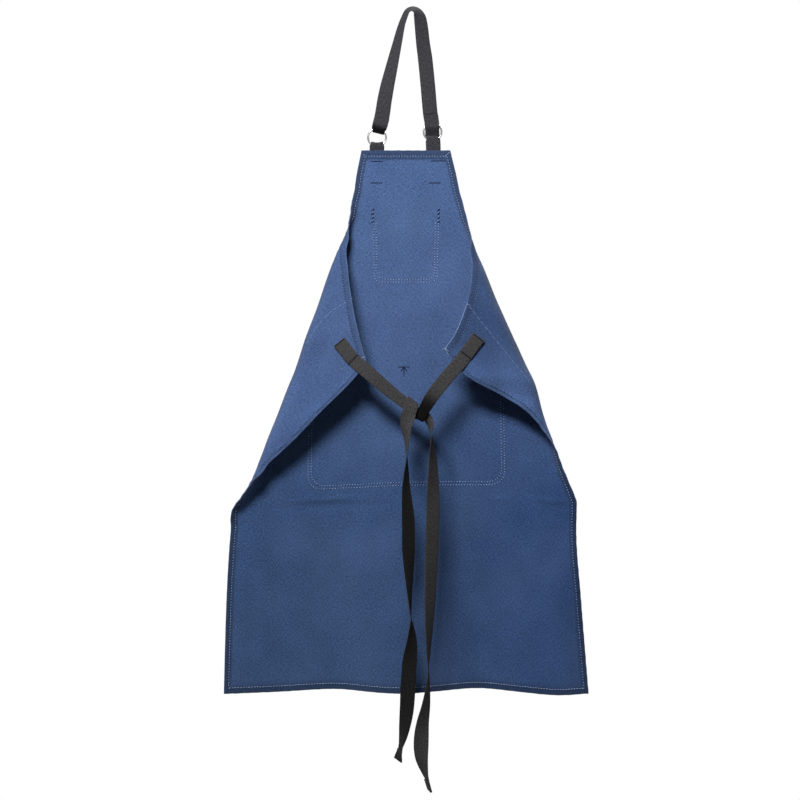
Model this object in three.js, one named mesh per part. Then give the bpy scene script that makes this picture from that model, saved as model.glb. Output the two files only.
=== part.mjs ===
// Canvas bib apron hanging by its neck strap, with its inside turned to the viewer.
// Millimetres, +Z up, -Y towards the viewer, +X to the viewer's right.
// The origin is the point where the neck strap hangs, under the top of its loop.
import * as THREE from "three";

// Cloth, webbing and the gap left between neighbours
const CANVAS = 1.5;
const WEBBING = 1.6;
const SEWN_GAP = 0.4;
const SEATED = CANVAS / 2 + SEWN_GAP + WEBBING / 2;
const COLOURS = { canvas: 0x3f5f96, webbing: 0x3c3b3d, nickel: 0xc9c8c4 };

// The apron's middle line, the cells across each half of a level and the longest steps along
const MIDDLE_X = -9;
const CELLS = { panel: 9, curl: 6, flap: 4 };
const LONGEST_ROW = 36;
const WEBBING_STEP = 13;
const WEBBING_TWIST = 16;
// Lengths of cloth that count as curl and as flap where a side lies flat, and the least turn
const FLAT_CURL = 16;
const SHORTEST_FLAP = 5;
const LEAST_TURN = 1e-3;

// One row for each level of a side. fold: how far out the side reaches from the hang point.
// edge: how far out its free edge lies. radius: of the curl between panel and flap.
// turn: how far round the cloth has curled there, in degrees; past 90 it is folded forward.
const SIDE_COLUMNS = ["z", "fold", "edge", "radius", "turn"];
const LEFT_SIDE = table(SIDE_COLUMNS, [
  [-240.5, 86, 86, 60, 0],
  [-300, 96.5, 96.5, 40, 14],
  [-342, 103.5, 103.5, 22, 45],
  [-371, 107.5, 107.5, 12, 88],
  [-400, 119.5, 108.5, 10, 160],
  [-445, 138, 107.5, 14, 168],
  [-510, 160.5, 98.5, 18, 170],
  [-570, 182.5, 85, 20, 170],
  [-597, 190.6, 77.2, 20, 170],
  [-600, 191.5, 76.5, 20, 170],
  [-603, 192.4, 78, 20, 170],
  [-622, 198, 91, 20, 170],
  [-690, 226, 158, 20, 171],
  [-729, 242.5, 195, 19, 171],
  [-752, 251, 219.5, 18, 169],
  [-778, 261, 245.5, 16.5, 160],
  [-792, 266.5, 258, 18, 138],
  [-806, 272.5, 271, 20, 100],
  [-830, 288.4, 288.4, 22, 80],
  [-857, 305.5, 305.5, 32, 40],
  [-888, 307.5, 307.5, 60, 0],
  [-1005, 314, 314, 60, 0],
  [-1165, 318, 318, 60, 0],
]);
const RIGHT_SIDE = table(SIDE_COLUMNS, [
  [-240.5, 65, 65, 60, 0],
  [-300, 78.5, 78.5, 40, 14],
  [-342, 88.5, 88.5, 24, 42],
  [-384, 98, 98, 14, 88],
  [-423, 111.5, 98.5, 12, 160],
  [-454, 125, 99, 18, 168],
  [-491, 139.5, 93.5, 22, 171],
  [-529, 156, 81.5, 25, 172],
  [-558, 169, 68, 26, 172],
  [-577, 177.8, 55.2, 26, 172],
  [-581, 179.5, 53, 26, 172],
  [-585, 181.2, 55.8, 26, 172],
  [-622, 197, 87, 26, 172],
  [-661, 212, 156.5, 20, 172],
  [-676, 216.5, 181, 19, 171],
  [-690, 221, 198, 17.5, 168],
  [-709, 227.5, 215.5, 16, 150],
  [-729, 235, 231, 17, 120],
  [-752, 243.8, 243.8, 20, 78],
  [-778, 254, 254, 25, 51],
  [-792, 260, 260, 28, 42],
  [-806, 266.3, 266.3, 31, 33],
  [-830, 276.5, 276.5, 38, 21],
  [-838, 279.3, 279.3, 42, 17],
  [-888, 278.5, 278.5, 60, 0],
  [-1005, 286, 286, 60, 0],
  [-1165, 298.5, 298.5, 60, 0],
]);

// The skirt hangs in soft flutes that grow from FLUTE_TOP down to the hem.
const FLUTE_TOP = -690;
const HEM_Z = -1165;
const FLUTES = table(["x", "depth"], [
  [-318, -18],
  [-235, 2],
  [-128, 20],
  [-68, -6],
  [-20, -17],
  [45, 2],
  [112, 23],
  [185, 0],
  [250, -20],
  [302, -10],
]);

// Patch pockets on the outer face: the left and right sides, mouth, bottom and corner radius.
// taper: the share of its width by which a pocket narrows from its mouth to its bottom.
const CHEST_POCKET = { left: -69, right: 48, top: -340, bottom: -467, corner: 12, taper: 0.06 };
const FRONT_POCKET = { left: -176, right: 157, top: -606, bottom: -812, corner: 24, taper: 0 };
const POCKET_CELLS = { across: 14, down: 8, corner: 4 };

// O-rings: radius to the middle of the wire, the wire's own radius, and the cells of a torus
const RING = { radius: 15.3, wire: 1.6, y: 3.1 };
const RING_CELLS = { section: 8, around: 28 };
const LEFT_RING = { x: -59.5, z: -217.9 };
const RIGHT_RING = { x: 35, z: -208.3 };

// Webbing routes. swing turns the width out of the picture's plane, lean turns it within.
const ROUTE_COLUMNS = ["x", "y", "z", "swing", "lean", "width"];
const NECK_STRAP = table(ROUTE_COLUMNS, [
  // end folded back behind the left ring
  [-50.6, 2.6, -184.6, 180, 166, 25],
  [-53.4, 3.6, -195.6, 180, 166, 24],
  [-55.8, 5.6, -203.2, 180, 166, 21],
  [-57, 5.6, -208.2, 180, 166, 20],
  [-57.6, 3.1, -210.6, 180, 166, 20],
  [-57, 0.5, -208.4, 180, 166, 20],
  [-56.1, 0.1, -203.2, 180, 166, 25],
  // up the left leg, over the hang point and down the right leg
  [-53.9, 0.1, -195.6, 180, 166, 26],
  [-50.8, 0.1, -182, 180, 167, 25.5],
  [-46.6, 0, -155, 174, 168, 25],
  [-42, 0, -131, 163, 168, 25],
  [-36.5, 0, -107, 150, 168, 25],
  [-31, 0, -83, 140, 168, 25],
  [-25.5, 0, -59.5, 131, 166, 25],
  [-18, 0, -28, 120, 160, 25],
  [-12.2, 0, -12, 117, 150, 25],
  [-8, 0, -3.4, 118, 118, 25],
  [0, 0, 0.6, 120, 90, 25],
  [8.6, 0, -3.2, 129, 58, 25],
  [13, 0, -12, 145, 20, 25],
  [15.4, 0, -26, 155, 8, 25],
  [18.9, 0, -59.5, 163, 6, 25],
  [22.2, 0, -83, 172, 6, 25],
  [27, 0, -131, 180, 5, 25],
  [31.2, 0, -178, 180, 5, 25],
  [33.4, 0.2, -191, 180, 4, 25],
  // slack fold that lies behind the right ring's hole
  [34.4, 0.1, -200.6, 180, 3, 25],
  [34.7, 2.8, -205.6, 180, 3, 23.5],
  [34.9, 6.6, -211, 180, 2, 24],
  [34.9, 8.9, -215.2, 180, 2, 24],
  [34.8, 11.2, -211, 180, 2, 24],
  [34.4, 9.6, -199, 180, 3, 24],
  [33.4, 4.6, -190, 180, 4, 24.5],
  [32.2, 2.4, -181, 180, 5, 25],
]);

// Tabs that hold the rings: the levels of the sewn end and the bib's top, the length that lies
// flat below it, widths on the bib and in the ring, and where the turn starts over the wire
const TAB = { sewnEnd: -303, bibTop: -241.5, flat: 11, width: 25, ringWidth: 20.5, rise: 4.6, drop: 4 };
// The turn over the wire, as shares of its half width
const TAB_TURN = table(["y", "z"], [
  [-1, 0],
  [-0.7, 0.75],
  [0, 1.1],
  [0.7, 0.75],
  [1, 0],
]);
const LEFT_TAB = ringTab(-59.7, LEFT_RING);
const RIGHT_TAB = ringTab(36.4, RIGHT_RING);

// Ties, from the sewn end to the free end. A row without y lies on the flap.
const LEFT_TIE = table(ROUTE_COLUMNS, [
  [-121.6, null, -567.6, 0, 40, 23],
  [-110, null, -582.5, 0, 40, 23],
  [-99, null, -596, 0, 42, 23],
  [-72, null, -620, 0, 46, 23],
  [-44.5, -60.6, -644, 3, 48, 22],
  [-16, -59.6, -667, 0, 50, 19],
  [2, -59, -680, 0, 58, 15],
  [14, -58.6, -687, 0, 62, 14],
  [23.5, -58.2, -692.5, 8, 56, 14],
  [29.6, -58.2, -703, 48, 30, 18],
  [31.6, -58.6, -720, 88, 0, 23],
  [34, -59, -761, 122, 0, 25],
  [34.6, -58, -798, 137, 0, 25],
  [34.6, -57, -843, 157, 0, 25],
  [32.4, -56, -920, 150, 0, 25],
  [29.6, -55, -998, 136, 0, 25],
  [28, -55, -1048, 121, 0, 25],
  [26.6, -54, -1112, 92, 0, 25],
  [26.1, -54, -1140, 104, 0, 25],
  [22.6, -54, -1173, 126, 0, 25],
  [17, -53, -1205, 150, 0, 25],
  [14.8, -52, -1238, 184, 0, 25],
  [15.6, -50, -1263, 212, -4, 25],
  [20.4, -48, -1286, 240, -12, 25],
  [25, -46.5, -1300, 252, -22, 25],
  [30, -45, -1317, 254, -26, 25],
]);
const RIGHT_TIE = table(ROUTE_COLUMNS, [
  [110.5, null, -560, 0, -44, 23.5],
  [98, null, -577, 0, -42, 23.5],
  [85, null, -594.5, 0, -41, 23.5],
  [71, -68.2, -611.5, 0, -40, 23.5],
  [56.5, -68.6, -628.5, 0, -39, 23.5],
  [42.6, -68.2, -645.5, 0, -37, 23],
  [30, -67.2, -663, 0, -34, 22],
  [18.6, -64.4, -682.6, 0, -30, 19],
  // round the left tie: under it, up behind it and over its top edge
  [13, -62.8, -691, 0, -28, 18],
  [11.8, -61.9, -695.8, 0, -27, 17],
  [10.8, -59.6, -697.4, 0, -26, 16],
  [10.5, -56.2, -696.2, 0, -25, 14],
  [9.2, -55.2, -690.6, 0, -16, 12],
  [6, -55.2, -685, 0, 14, 9],
  [-1, -55, -680.6, 0, 42, 7],
  [-6.6, -55, -677.4, 0, 30, 7],
  [-8.4, -55, -673.4, 0, -6, 7],
  [-6.4, -55.1, -670, 0, -30, 7.5],
  [-2.8, -56.2, -667.6, 0, -40, 13],
  [0.2, -59.2, -665.2, 0, -40, 19],
  [1.2, -62.8, -664.8, 0, -40, 21],
  [0.4, -66.4, -667.6, 0, -38, 22],
  [-1.8, -68, -674, 0, -34, 23],
  [-6, -68, -688, 2, -20, 24],
  [-10, -66, -704, 36, -8, 25],
  [-9.4, -63, -731, 71, 0, 25],
  [-9.1, -61, -761, 92, 0, 25],
  [-10.2, -60, -808, 121, 0, 25],
  [-6.8, -58, -865, 148, 0, 25],
  [-6.2, -57, -912, 150, 0, 25],
  [-5.6, -56, -943, 132, 0, 25],
  [-4.4, -56, -985, 109, 0, 25],
  [-2.2, -55, -1028, 90, 0, 25],
  [-0.8, -55, -1065, 132, 0, 25],
  [-4.6, -54, -1103, 170, 0, 25],
  [-7.1, -54, -1143, 182, 0, 25],
  [-9.4, -53, -1182, 202, -4, 25],
  [-15, -50, -1222, 236, -8, 25],
  [-19, -48, -1241, 256, -10, 25],
  [-20.6, -47, -1253, 256, -12, 25],
  [-23, -46, -1266, 240, -16, 25],
]);

function table(columns, rows) {
  return rows.map((row) => Object.fromEntries(columns.map((name, i) => [name, row[i]])));
}

function radians(degrees) {
  return THREE.MathUtils.degToRad(degrees);
}

// Value of a column at a place between the rows of a table, on a curve that never overshoots
function between(rows, along, column, at) {
  const size = rows.length;
  const places = rows.map((row) => row[along]);
  const values = rows.map((row) => row[column]);
  const rising = places[size - 1] > places[0];
  const inside = THREE.MathUtils.clamp(at, Math.min(...places), Math.max(...places));
  let i = 0;
  while (i < size - 2 && (rising ? places[i + 1] < inside : places[i + 1] > inside)) i += 1;
  const slope = (k) => (values[k + 1] - values[k]) / (places[k + 1] - places[k]);
  const tangent = (k) => {
    if (k === 0) return slope(0);
    if (k === size - 1) return slope(size - 2);
    const [before, after] = [slope(k - 1), slope(k)];
    return before * after <= 0 ? 0 : (2 * before * after) / (before + after);
  };
  const step = places[i + 1] - places[i];
  const t = (inside - places[i]) / step;
  const ends = values[i] * (1 + 2 * t) * (1 - t) ** 2 + values[i + 1] * t * t * (3 - 2 * t);
  const bends = tangent(i) * t * (1 - t) ** 2 - tangent(i + 1) * t * t * (1 - t);
  return ends + bends * step;
}

// Depth of the hanging panel behind the picture's plane
function panelDepth(x, z) {
  const fall = THREE.MathUtils.smoothstep(-z, -FLUTE_TOP, -HEM_Z);
  return fall * between(FLUTES, "x", "depth", x);
}

// A row of a side table as lengths along the cloth: flat panel, curl and flap
function lengthsOf(row) {
  const turn = radians(row.turn);
  const curl = row.turn === 0 ? FLAT_CURL : row.radius * turn;
  const curlReach = row.turn === 0 ? curl : row.radius * Math.sin(turn);
  const folded = row.turn > 90;
  const flatEnd = row.fold - curlReach - SHORTEST_FLAP * Math.cos(turn);
  const start = folded ? row.fold - row.radius : flatEnd;
  const flapReach = start + curlReach - row.edge;
  const flap = folded ? Math.max(SHORTEST_FLAP, -flapReach / Math.cos(turn)) : SHORTEST_FLAP;
  return { z: row.z, start, curl, turn, flap };
}

function makeSide(sign, rows) {
  return { sign, levels: rows.map((row) => row.z), lengths: rows.map(lengthsOf) };
}

function lengthsAt(side, z) {
  const value = (column) => between(side.lengths, "z", column, z);
  return { start: value("start"), curl: value("curl"), turn: value("turn"), flap: value("flap") };
}

// How far out and how far forward the cloth lies, at a length past the start of its curl
function curlPoint(lengths, length) {
  const { start, curl } = lengths;
  const turn = Math.max(lengths.turn, LEAST_TURN);
  const round = turn * Math.min(1, length / curl);
  const radius = curl / turn;
  const past = Math.max(0, length - curl);
  return {
    out: start + radius * Math.sin(round) + past * Math.cos(turn),
    forward: radius * (1 - Math.cos(round)) + past * Math.sin(turn),
  };
}

// The points of one half of a level, from the middle line out to the free edge
function halfLevel(side, z) {
  const lengths = lengthsAt(side, z);
  const points = [];
  for (let i = 0; i <= CELLS.panel; i += 1) {
    const x = THREE.MathUtils.lerp(MIDDLE_X, side.sign * lengths.start, i / CELLS.panel);
    points.push(new THREE.Vector3(x, panelDepth(x, z), z));
  }
  for (let i = 1; i <= CELLS.curl + CELLS.flap; i += 1) {
    const onFlap = Math.max(0, i - CELLS.curl);
    const length = (lengths.curl * Math.min(i, CELLS.curl)) / CELLS.curl
      + (lengths.flap * onFlap) / CELLS.flap;
    const { out, forward } = curlPoint(lengths, length);
    const x = side.sign * out;
    points.push(new THREE.Vector3(x, panelDepth(x, z) - forward, z));
  }
  return points;
}

// Depth of a flap's middle surface at a point of the picture
function flapDepth(side, x, z) {
  const lengths = lengthsAt(side, z);
  const foldEnd = curlPoint(lengths, lengths.curl);
  const inward = foldEnd.out - side.sign * x;
  return -foldEnd.forward + inward * Math.tan(lengths.turn);
}

// A closed wall of even thickness about a grid of points
function wall(grid, thickness) {
  const rows = grid.length;
  const columns = grid[0].length;
  const positions = [];
  const index = [];
  const at = (r, c, face) => (face * rows + r) * columns + c;
  const clamped = (r, c) => grid[THREE.MathUtils.clamp(r, 0, rows - 1)][
    THREE.MathUtils.clamp(c, 0, columns - 1)];
  for (const face of [0, 1]) {
    for (let r = 0; r < rows; r += 1) {
      for (let c = 0; c < columns; c += 1) {
        const across = clamped(r, c + 1).clone().sub(clamped(r, c - 1));
        const down = clamped(r + 1, c).clone().sub(clamped(r - 1, c));
        const normal = down.cross(across).normalize();
        const offset = (face === 0 ? 0.5 : -0.5) * thickness;
        positions.push(...grid[r][c].clone().addScaledVector(normal, offset));
      }
    }
  }
  const quad = (a, b, c, d) => index.push(a, b, c, a, c, d);
  for (let r = 0; r < rows - 1; r += 1) {
    for (let c = 0; c < columns - 1; c += 1) {
      quad(at(r, c, 0), at(r + 1, c, 0), at(r + 1, c + 1, 0), at(r, c + 1, 0));
      quad(at(r, c, 1), at(r, c + 1, 1), at(r + 1, c + 1, 1), at(r + 1, c, 1));
    }
  }
  for (let c = 0; c < columns - 1; c += 1) {
    const last = rows - 1;
    quad(at(0, c, 0), at(0, c + 1, 0), at(0, c + 1, 1), at(0, c, 1));
    quad(at(last, c, 0), at(last, c, 1), at(last, c + 1, 1), at(last, c + 1, 0));
  }
  for (let r = 0; r < rows - 1; r += 1) {
    const last = columns - 1;
    quad(at(r, 0, 0), at(r, 0, 1), at(r + 1, 0, 1), at(r + 1, 0, 0));
    quad(at(r, last, 0), at(r + 1, last, 0), at(r + 1, last, 1), at(r, last, 1));
  }
  const geometry = new THREE.BufferGeometry();
  geometry.setAttribute("position", new THREE.Float32BufferAttribute(positions, 3));
  geometry.setIndex(index);
  return geometry;
}

// Levels of the body: every level of both side tables, with the long steps divided
function bodyLevels(left, right) {
  const named = [...new Set([...left.levels, ...right.levels])].sort((a, b) => b - a);
  const levels = [named[0]];
  for (let i = 1; i < named.length; i += 1) {
    const steps = Math.ceil((named[i - 1] - named[i]) / LONGEST_ROW);
    for (let k = 1; k <= steps; k += 1) {
      levels.push(THREE.MathUtils.lerp(named[i - 1], named[i], k / steps));
    }
  }
  return levels;
}

function apronBody(left, right) {
  const grid = bodyLevels(left, right).map((z) => {
    const leftHalf = halfLevel(left, z).reverse();
    return [...leftHalf, ...halfLevel(right, z).slice(1)];
  });
  return wall(grid, CANVAS);
}

// A patch pocket that lies on the outer face of the panel
function pocket({ left, right, top, bottom, corner, taper }) {
  const levels = [];
  for (let i = 0; i < POCKET_CELLS.down; i += 1) {
    levels.push(THREE.MathUtils.lerp(top, bottom + corner, i / POCKET_CELLS.down));
  }
  for (let i = 0; i <= POCKET_CELLS.corner; i += 1) {
    const angle = (Math.PI / 2) * (i / POCKET_CELLS.corner);
    levels.push(bottom + corner - corner * Math.sin(angle));
  }
  const grid = levels.map((z) => {
    const drop = Math.max(0, bottom + corner - z);
    const inset = corner - Math.sqrt(Math.max(0, corner * corner - drop * drop));
    const narrowing = 1 - taper * ((top - z) / (top - bottom));
    const middle = (left + right) / 2;
    const half = ((right - left) / 2 - inset) * narrowing;
    const row = [];
    for (let i = 0; i <= POCKET_CELLS.across; i += 1) {
      const x = THREE.MathUtils.lerp(middle - half, middle + half, i / POCKET_CELLS.across);
      row.push(new THREE.Vector3(x, panelDepth(x, z) + CANVAS + SEWN_GAP, z));
    }
    return row;
  });
  return wall(grid, CANVAS);
}

function ring({ x, z }) {
  const geometry = new THREE.TorusGeometry(
    RING.radius, RING.wire, RING_CELLS.section, RING_CELLS.around);
  geometry.rotateX(Math.PI / 2);
  geometry.translate(x, RING.y, z);
  return geometry;
}

// The route of a tab: up the outer face of the bib, round the ring's lower arc and down again
function ringTab(x, held) {
  const farFace = SEATED + WEBBING + SEWN_GAP;
  const half = RING.wire + SEWN_GAP + WEBBING / 2;
  const turnZ = held.z - RING.radius + TAB.rise;
  const station = (at, y, z, width) => [at, y, z, 0, 0, width];
  const onBib = (y, z) => station(x, y, z, TAB.width);
  const narrowing = (face) => station(
    (x + held.x) / 2, RING.y + face * half, turnZ - TAB.drop, TAB.width);
  const turn = TAB_TURN.map((share) => station(
    held.x, RING.y + share.y * half, turnZ + share.z * half, TAB.ringWidth));
  return table(ROUTE_COLUMNS, [
    onBib(SEATED, TAB.sewnEnd),
    onBib(SEATED, TAB.bibTop - TAB.flat),
    onBib(SEATED, TAB.bibTop),
    narrowing(-1),
    ...turn,
    narrowing(1),
    onBib(farFace, TAB.bibTop),
    onBib(farFace, TAB.bibTop - TAB.flat),
    onBib(farFace, TAB.sewnEnd),
  ]);
}

// Fills in the depth and the swing of the rows that lie on a flap
function seated(rows, side) {
  return rows.map((row) => {
    if (row.y !== null) return row;
    const lean = radians(row.lean);
    const here = flapDepth(side, row.x, row.z);
    const beside = flapDepth(side, row.x + Math.cos(lean), row.z + Math.sin(lean));
    const swing = THREE.MathUtils.radToDeg(Math.atan(here - beside));
    return { ...row, y: here - SEATED, swing };
  });
}

// Corners of a band's section, as signs of its half width and half thickness
const BAND_CORNERS = [[-1, -1], [1, -1], [1, 1], [-1, 1]];

// Webbing swept along a route as a flat band
function ribbon(rows) {
  const corners = rows.map((row) => new THREE.Vector3(row.x, row.y, row.z));
  const curve = new THREE.CatmullRomCurve3(corners, false, "centripetal");
  const stations = [];
  for (let i = 0; i < rows.length - 1; i += 1) {
    const turned = (column) => Math.abs(rows[i + 1][column] - rows[i][column]) / WEBBING_TWIST;
    const length = corners[i].distanceTo(corners[i + 1]) / WEBBING_STEP;
    const steps = Math.ceil(Math.max(length, turned("swing"), turned("lean")));
    for (let k = 0; k < steps; k += 1) stations.push(i + k / steps);
  }
  stations.push(rows.length - 1);
  const positions = [];
  stations.forEach((at) => {
    const i = Math.min(Math.floor(at), rows.length - 2);
    const mix = (column) => THREE.MathUtils.lerp(rows[i][column], rows[i + 1][column], at - i);
    const t = at / (rows.length - 1);
    const tangent = curve.getTangent(t);
    const [swing, lean] = [radians(mix("swing")), radians(mix("lean"))];
    const across = new THREE.Vector3(
      Math.cos(lean) * Math.cos(swing), -Math.sin(swing), Math.sin(lean) * Math.cos(swing));
    across.addScaledVector(tangent, -across.dot(tangent)).normalize();
    const normal = tangent.clone().cross(across);
    for (const [u, v] of BAND_CORNERS) {
      const corner = curve.getPoint(t);
      corner.addScaledVector(across, (u * mix("width")) / 2);
      corner.addScaledVector(normal, (v * WEBBING) / 2);
      positions.push(...corner);
    }
  });
  const index = [0, 2, 1, 0, 3, 2];
  for (let s = 0; s < stations.length - 1; s += 1) {
    for (let k = 0; k < 4; k += 1) {
      const [a, b] = [s * 4 + k, s * 4 + ((k + 1) % 4)];
      const [c, d] = [b + 4, a + 4];
      // Both faces are cut along the same diagonal, so that a twisted band keeps its thickness.
      index.push(...(k < 2 ? [a, b, c, a, c, d] : [a, b, d, b, c, d]));
    }
  }
  const end = (stations.length - 1) * 4;
  index.push(end, end + 1, end + 2, end, end + 2, end + 3);
  const geometry = new THREE.BufferGeometry();
  geometry.setAttribute("position", new THREE.Float32BufferAttribute(positions, 3));
  geometry.setIndex(index);
  return geometry;
}

function canvasMaterial() {
  return new THREE.MeshStandardMaterial({ color: COLOURS.canvas, roughness: 0.9, metalness: 0 });
}

function webbingMaterial() {
  return new THREE.MeshStandardMaterial({ color: COLOURS.webbing, roughness: 0.8, metalness: 0 });
}

function nickelMaterial() {
  return new THREE.MeshStandardMaterial({ color: COLOURS.nickel, roughness: 0.25, metalness: 1 });
}

function addMesh(group, name, geometry, material) {
  const mesh = new THREE.Mesh(geometry, material);
  mesh.name = name;
  group.add(mesh);
}

function apron() {
  const left = makeSide(-1, LEFT_SIDE);
  const right = makeSide(1, RIGHT_SIDE);
  const group = new THREE.Group();
  addMesh(group, "apron_body", apronBody(left, right), canvasMaterial());
  addMesh(group, "chest_pocket", pocket(CHEST_POCKET), canvasMaterial());
  addMesh(group, "front_pocket", pocket(FRONT_POCKET), canvasMaterial());
  addMesh(group, "neck_strap", ribbon(NECK_STRAP), webbingMaterial());
  addMesh(group, "ring_left", ring(LEFT_RING), nickelMaterial());
  addMesh(group, "ring_right", ring(RIGHT_RING), nickelMaterial());
  addMesh(group, "ring_tab_left", ribbon(LEFT_TAB), webbingMaterial());
  addMesh(group, "ring_tab_right", ribbon(RIGHT_TAB), webbingMaterial());
  addMesh(group, "waist_tie_left", ribbon(seated(LEFT_TIE, left)), webbingMaterial());
  addMesh(group, "waist_tie_right", ribbon(seated(RIGHT_TIE, right)), webbingMaterial());
  return group;
}

export default apron();
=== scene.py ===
"""Canvas bib apron hanging by its neck strap, with its inside turned to the viewer.

Metres, +Z up, -Y towards the viewer, +X to the viewer's right.
The origin is the point where the neck strap hangs, under the top of its loop.
"""
import math

import bpy
import numpy as np
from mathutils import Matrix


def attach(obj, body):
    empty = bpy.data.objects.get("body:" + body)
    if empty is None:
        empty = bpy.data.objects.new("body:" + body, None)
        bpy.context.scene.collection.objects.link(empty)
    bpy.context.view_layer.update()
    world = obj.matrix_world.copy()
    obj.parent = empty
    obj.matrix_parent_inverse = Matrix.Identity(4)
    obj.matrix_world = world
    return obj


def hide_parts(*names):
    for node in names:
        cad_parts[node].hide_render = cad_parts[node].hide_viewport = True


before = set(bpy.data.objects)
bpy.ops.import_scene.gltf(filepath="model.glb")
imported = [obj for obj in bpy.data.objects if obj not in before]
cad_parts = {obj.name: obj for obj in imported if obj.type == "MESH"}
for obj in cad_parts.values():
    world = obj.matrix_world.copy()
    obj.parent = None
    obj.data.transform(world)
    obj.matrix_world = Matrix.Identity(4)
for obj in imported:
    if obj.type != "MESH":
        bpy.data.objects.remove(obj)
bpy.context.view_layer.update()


def table(columns, rows):
    """A short table as a dict with one array for each named column."""
    return dict(zip(columns, np.array(rows, dtype=float).T))


# Cloth, webbing and the gap left between neighbours
CANVAS = 0.0015
WEBBING = 0.0016
SEWN_GAP = 0.0004
SEATED = CANVAS / 2 + SEWN_GAP + WEBBING / 2
NUDGE = 0.0004

# Camera: straight on, level with the middle of the apron
CAMERA_AT = (-0.0204, -2.6, -0.6647)
VIEW_WIDTH = 1.36
SENSOR_MM = 36.0

# The apron's middle line, the cells across each half of the cloth and the steps along
MIDDLE_X = -0.009
CELLS = {"panel": 46, "curl": 14, "flap": 16}
CLOTH_ROW = 0.0037
WEBBING_STEP = 0.002
# Lengths of cloth that count as curl and as flap where a side lies flat, and the least turn
FLAT_CURL = 0.016
SHORTEST_FLAP = 0.005
LEAST_TURN = 1e-3

# One row for each level of a side. fold: how far out the side reaches from the hang point.
# edge: how far out its free edge lies. radius: of the curl between panel and flap.
# turn: how far round the cloth has curled there, in degrees; past 90 it is folded forward.
SIDE_COLUMNS = ("z", "fold", "edge", "radius", "turn")
LEFT_SIDE = table(SIDE_COLUMNS, [
    (-0.2405, 0.086, 0.086, 0.06, 0),
    (-0.3, 0.0965, 0.0965, 0.04, 14),
    (-0.342, 0.1035, 0.1035, 0.022, 45),
    (-0.371, 0.1075, 0.1075, 0.012, 88),
    (-0.4, 0.1195, 0.1085, 0.01, 160),
    (-0.445, 0.138, 0.1075, 0.014, 168),
    (-0.51, 0.1605, 0.0985, 0.018, 170),
    (-0.57, 0.1825, 0.085, 0.02, 170),
    (-0.597, 0.1906, 0.0772, 0.02, 170),
    (-0.6, 0.1915, 0.0765, 0.02, 170),
    (-0.603, 0.1924, 0.078, 0.02, 170),
    (-0.622, 0.198, 0.091, 0.02, 170),
    (-0.69, 0.226, 0.158, 0.02, 171),
    (-0.729, 0.2425, 0.195, 0.019, 171),
    (-0.752, 0.251, 0.2195, 0.018, 169),
    (-0.778, 0.261, 0.2455, 0.0165, 160),
    (-0.792, 0.2665, 0.258, 0.018, 138),
    (-0.806, 0.2725, 0.271, 0.02, 100),
    (-0.83, 0.2884, 0.2884, 0.022, 80),
    (-0.857, 0.3055, 0.3055, 0.032, 40),
    (-0.888, 0.3075, 0.3075, 0.06, 0),
    (-1.005, 0.314, 0.314, 0.06, 0),
    (-1.165, 0.318, 0.318, 0.06, 0),
])
RIGHT_SIDE = table(SIDE_COLUMNS, [
    (-0.2405, 0.065, 0.065, 0.06, 0),
    (-0.3, 0.0785, 0.0785, 0.04, 14),
    (-0.342, 0.0885, 0.0885, 0.024, 42),
    (-0.384, 0.098, 0.098, 0.014, 88),
    (-0.423, 0.1115, 0.0985, 0.012, 160),
    (-0.454, 0.125, 0.099, 0.018, 168),
    (-0.491, 0.1395, 0.0935, 0.022, 171),
    (-0.529, 0.156, 0.0815, 0.025, 172),
    (-0.558, 0.169, 0.068, 0.026, 172),
    (-0.577, 0.1778, 0.0552, 0.026, 172),
    (-0.581, 0.1795, 0.053, 0.026, 172),
    (-0.585, 0.1812, 0.0558, 0.026, 172),
    (-0.622, 0.197, 0.087, 0.026, 172),
    (-0.661, 0.212, 0.1565, 0.02, 172),
    (-0.676, 0.2165, 0.181, 0.019, 171),
    (-0.69, 0.221, 0.198, 0.0175, 168),
    (-0.709, 0.2275, 0.2155, 0.016, 150),
    (-0.729, 0.235, 0.231, 0.017, 120),
    (-0.752, 0.2438, 0.2438, 0.02, 78),
    (-0.778, 0.254, 0.254, 0.025, 51),
    (-0.792, 0.26, 0.26, 0.028, 42),
    (-0.806, 0.2663, 0.2663, 0.031, 33),
    (-0.83, 0.2765, 0.2765, 0.038, 21),
    (-0.838, 0.2793, 0.2793, 0.042, 17),
    (-0.888, 0.2785, 0.2785, 0.06, 0),
    (-1.005, 0.286, 0.286, 0.06, 0),
    (-1.165, 0.2985, 0.2985, 0.06, 0),
])
BIB_TOP = -0.2405
HEM_Z = -1.165

# The skirt hangs in soft flutes that grow from FLUTE_TOP to the hem and draw it up by rise.
FLUTE_TOP = -0.690
FLUTE_ROUNDING = (-0.020, -0.010, 0.0, 0.010, 0.020)
FLUTES = table(("x", "depth", "rise"), [
    (-0.318, -0.018, 0.0040),
    (-0.235, 0.002, 0.0036),
    (-0.128, 0.020, 0.0058),
    (-0.068, -0.006, 0.0048),
    (-0.020, -0.017, 0.0040),
    (0.045, 0.002, 0.0050),
    (0.112, 0.023, 0.0068),
    (0.185, 0.000, 0.0040),
    (0.250, -0.020, 0.0018),
    (0.302, -0.010, 0.0040),
])

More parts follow.
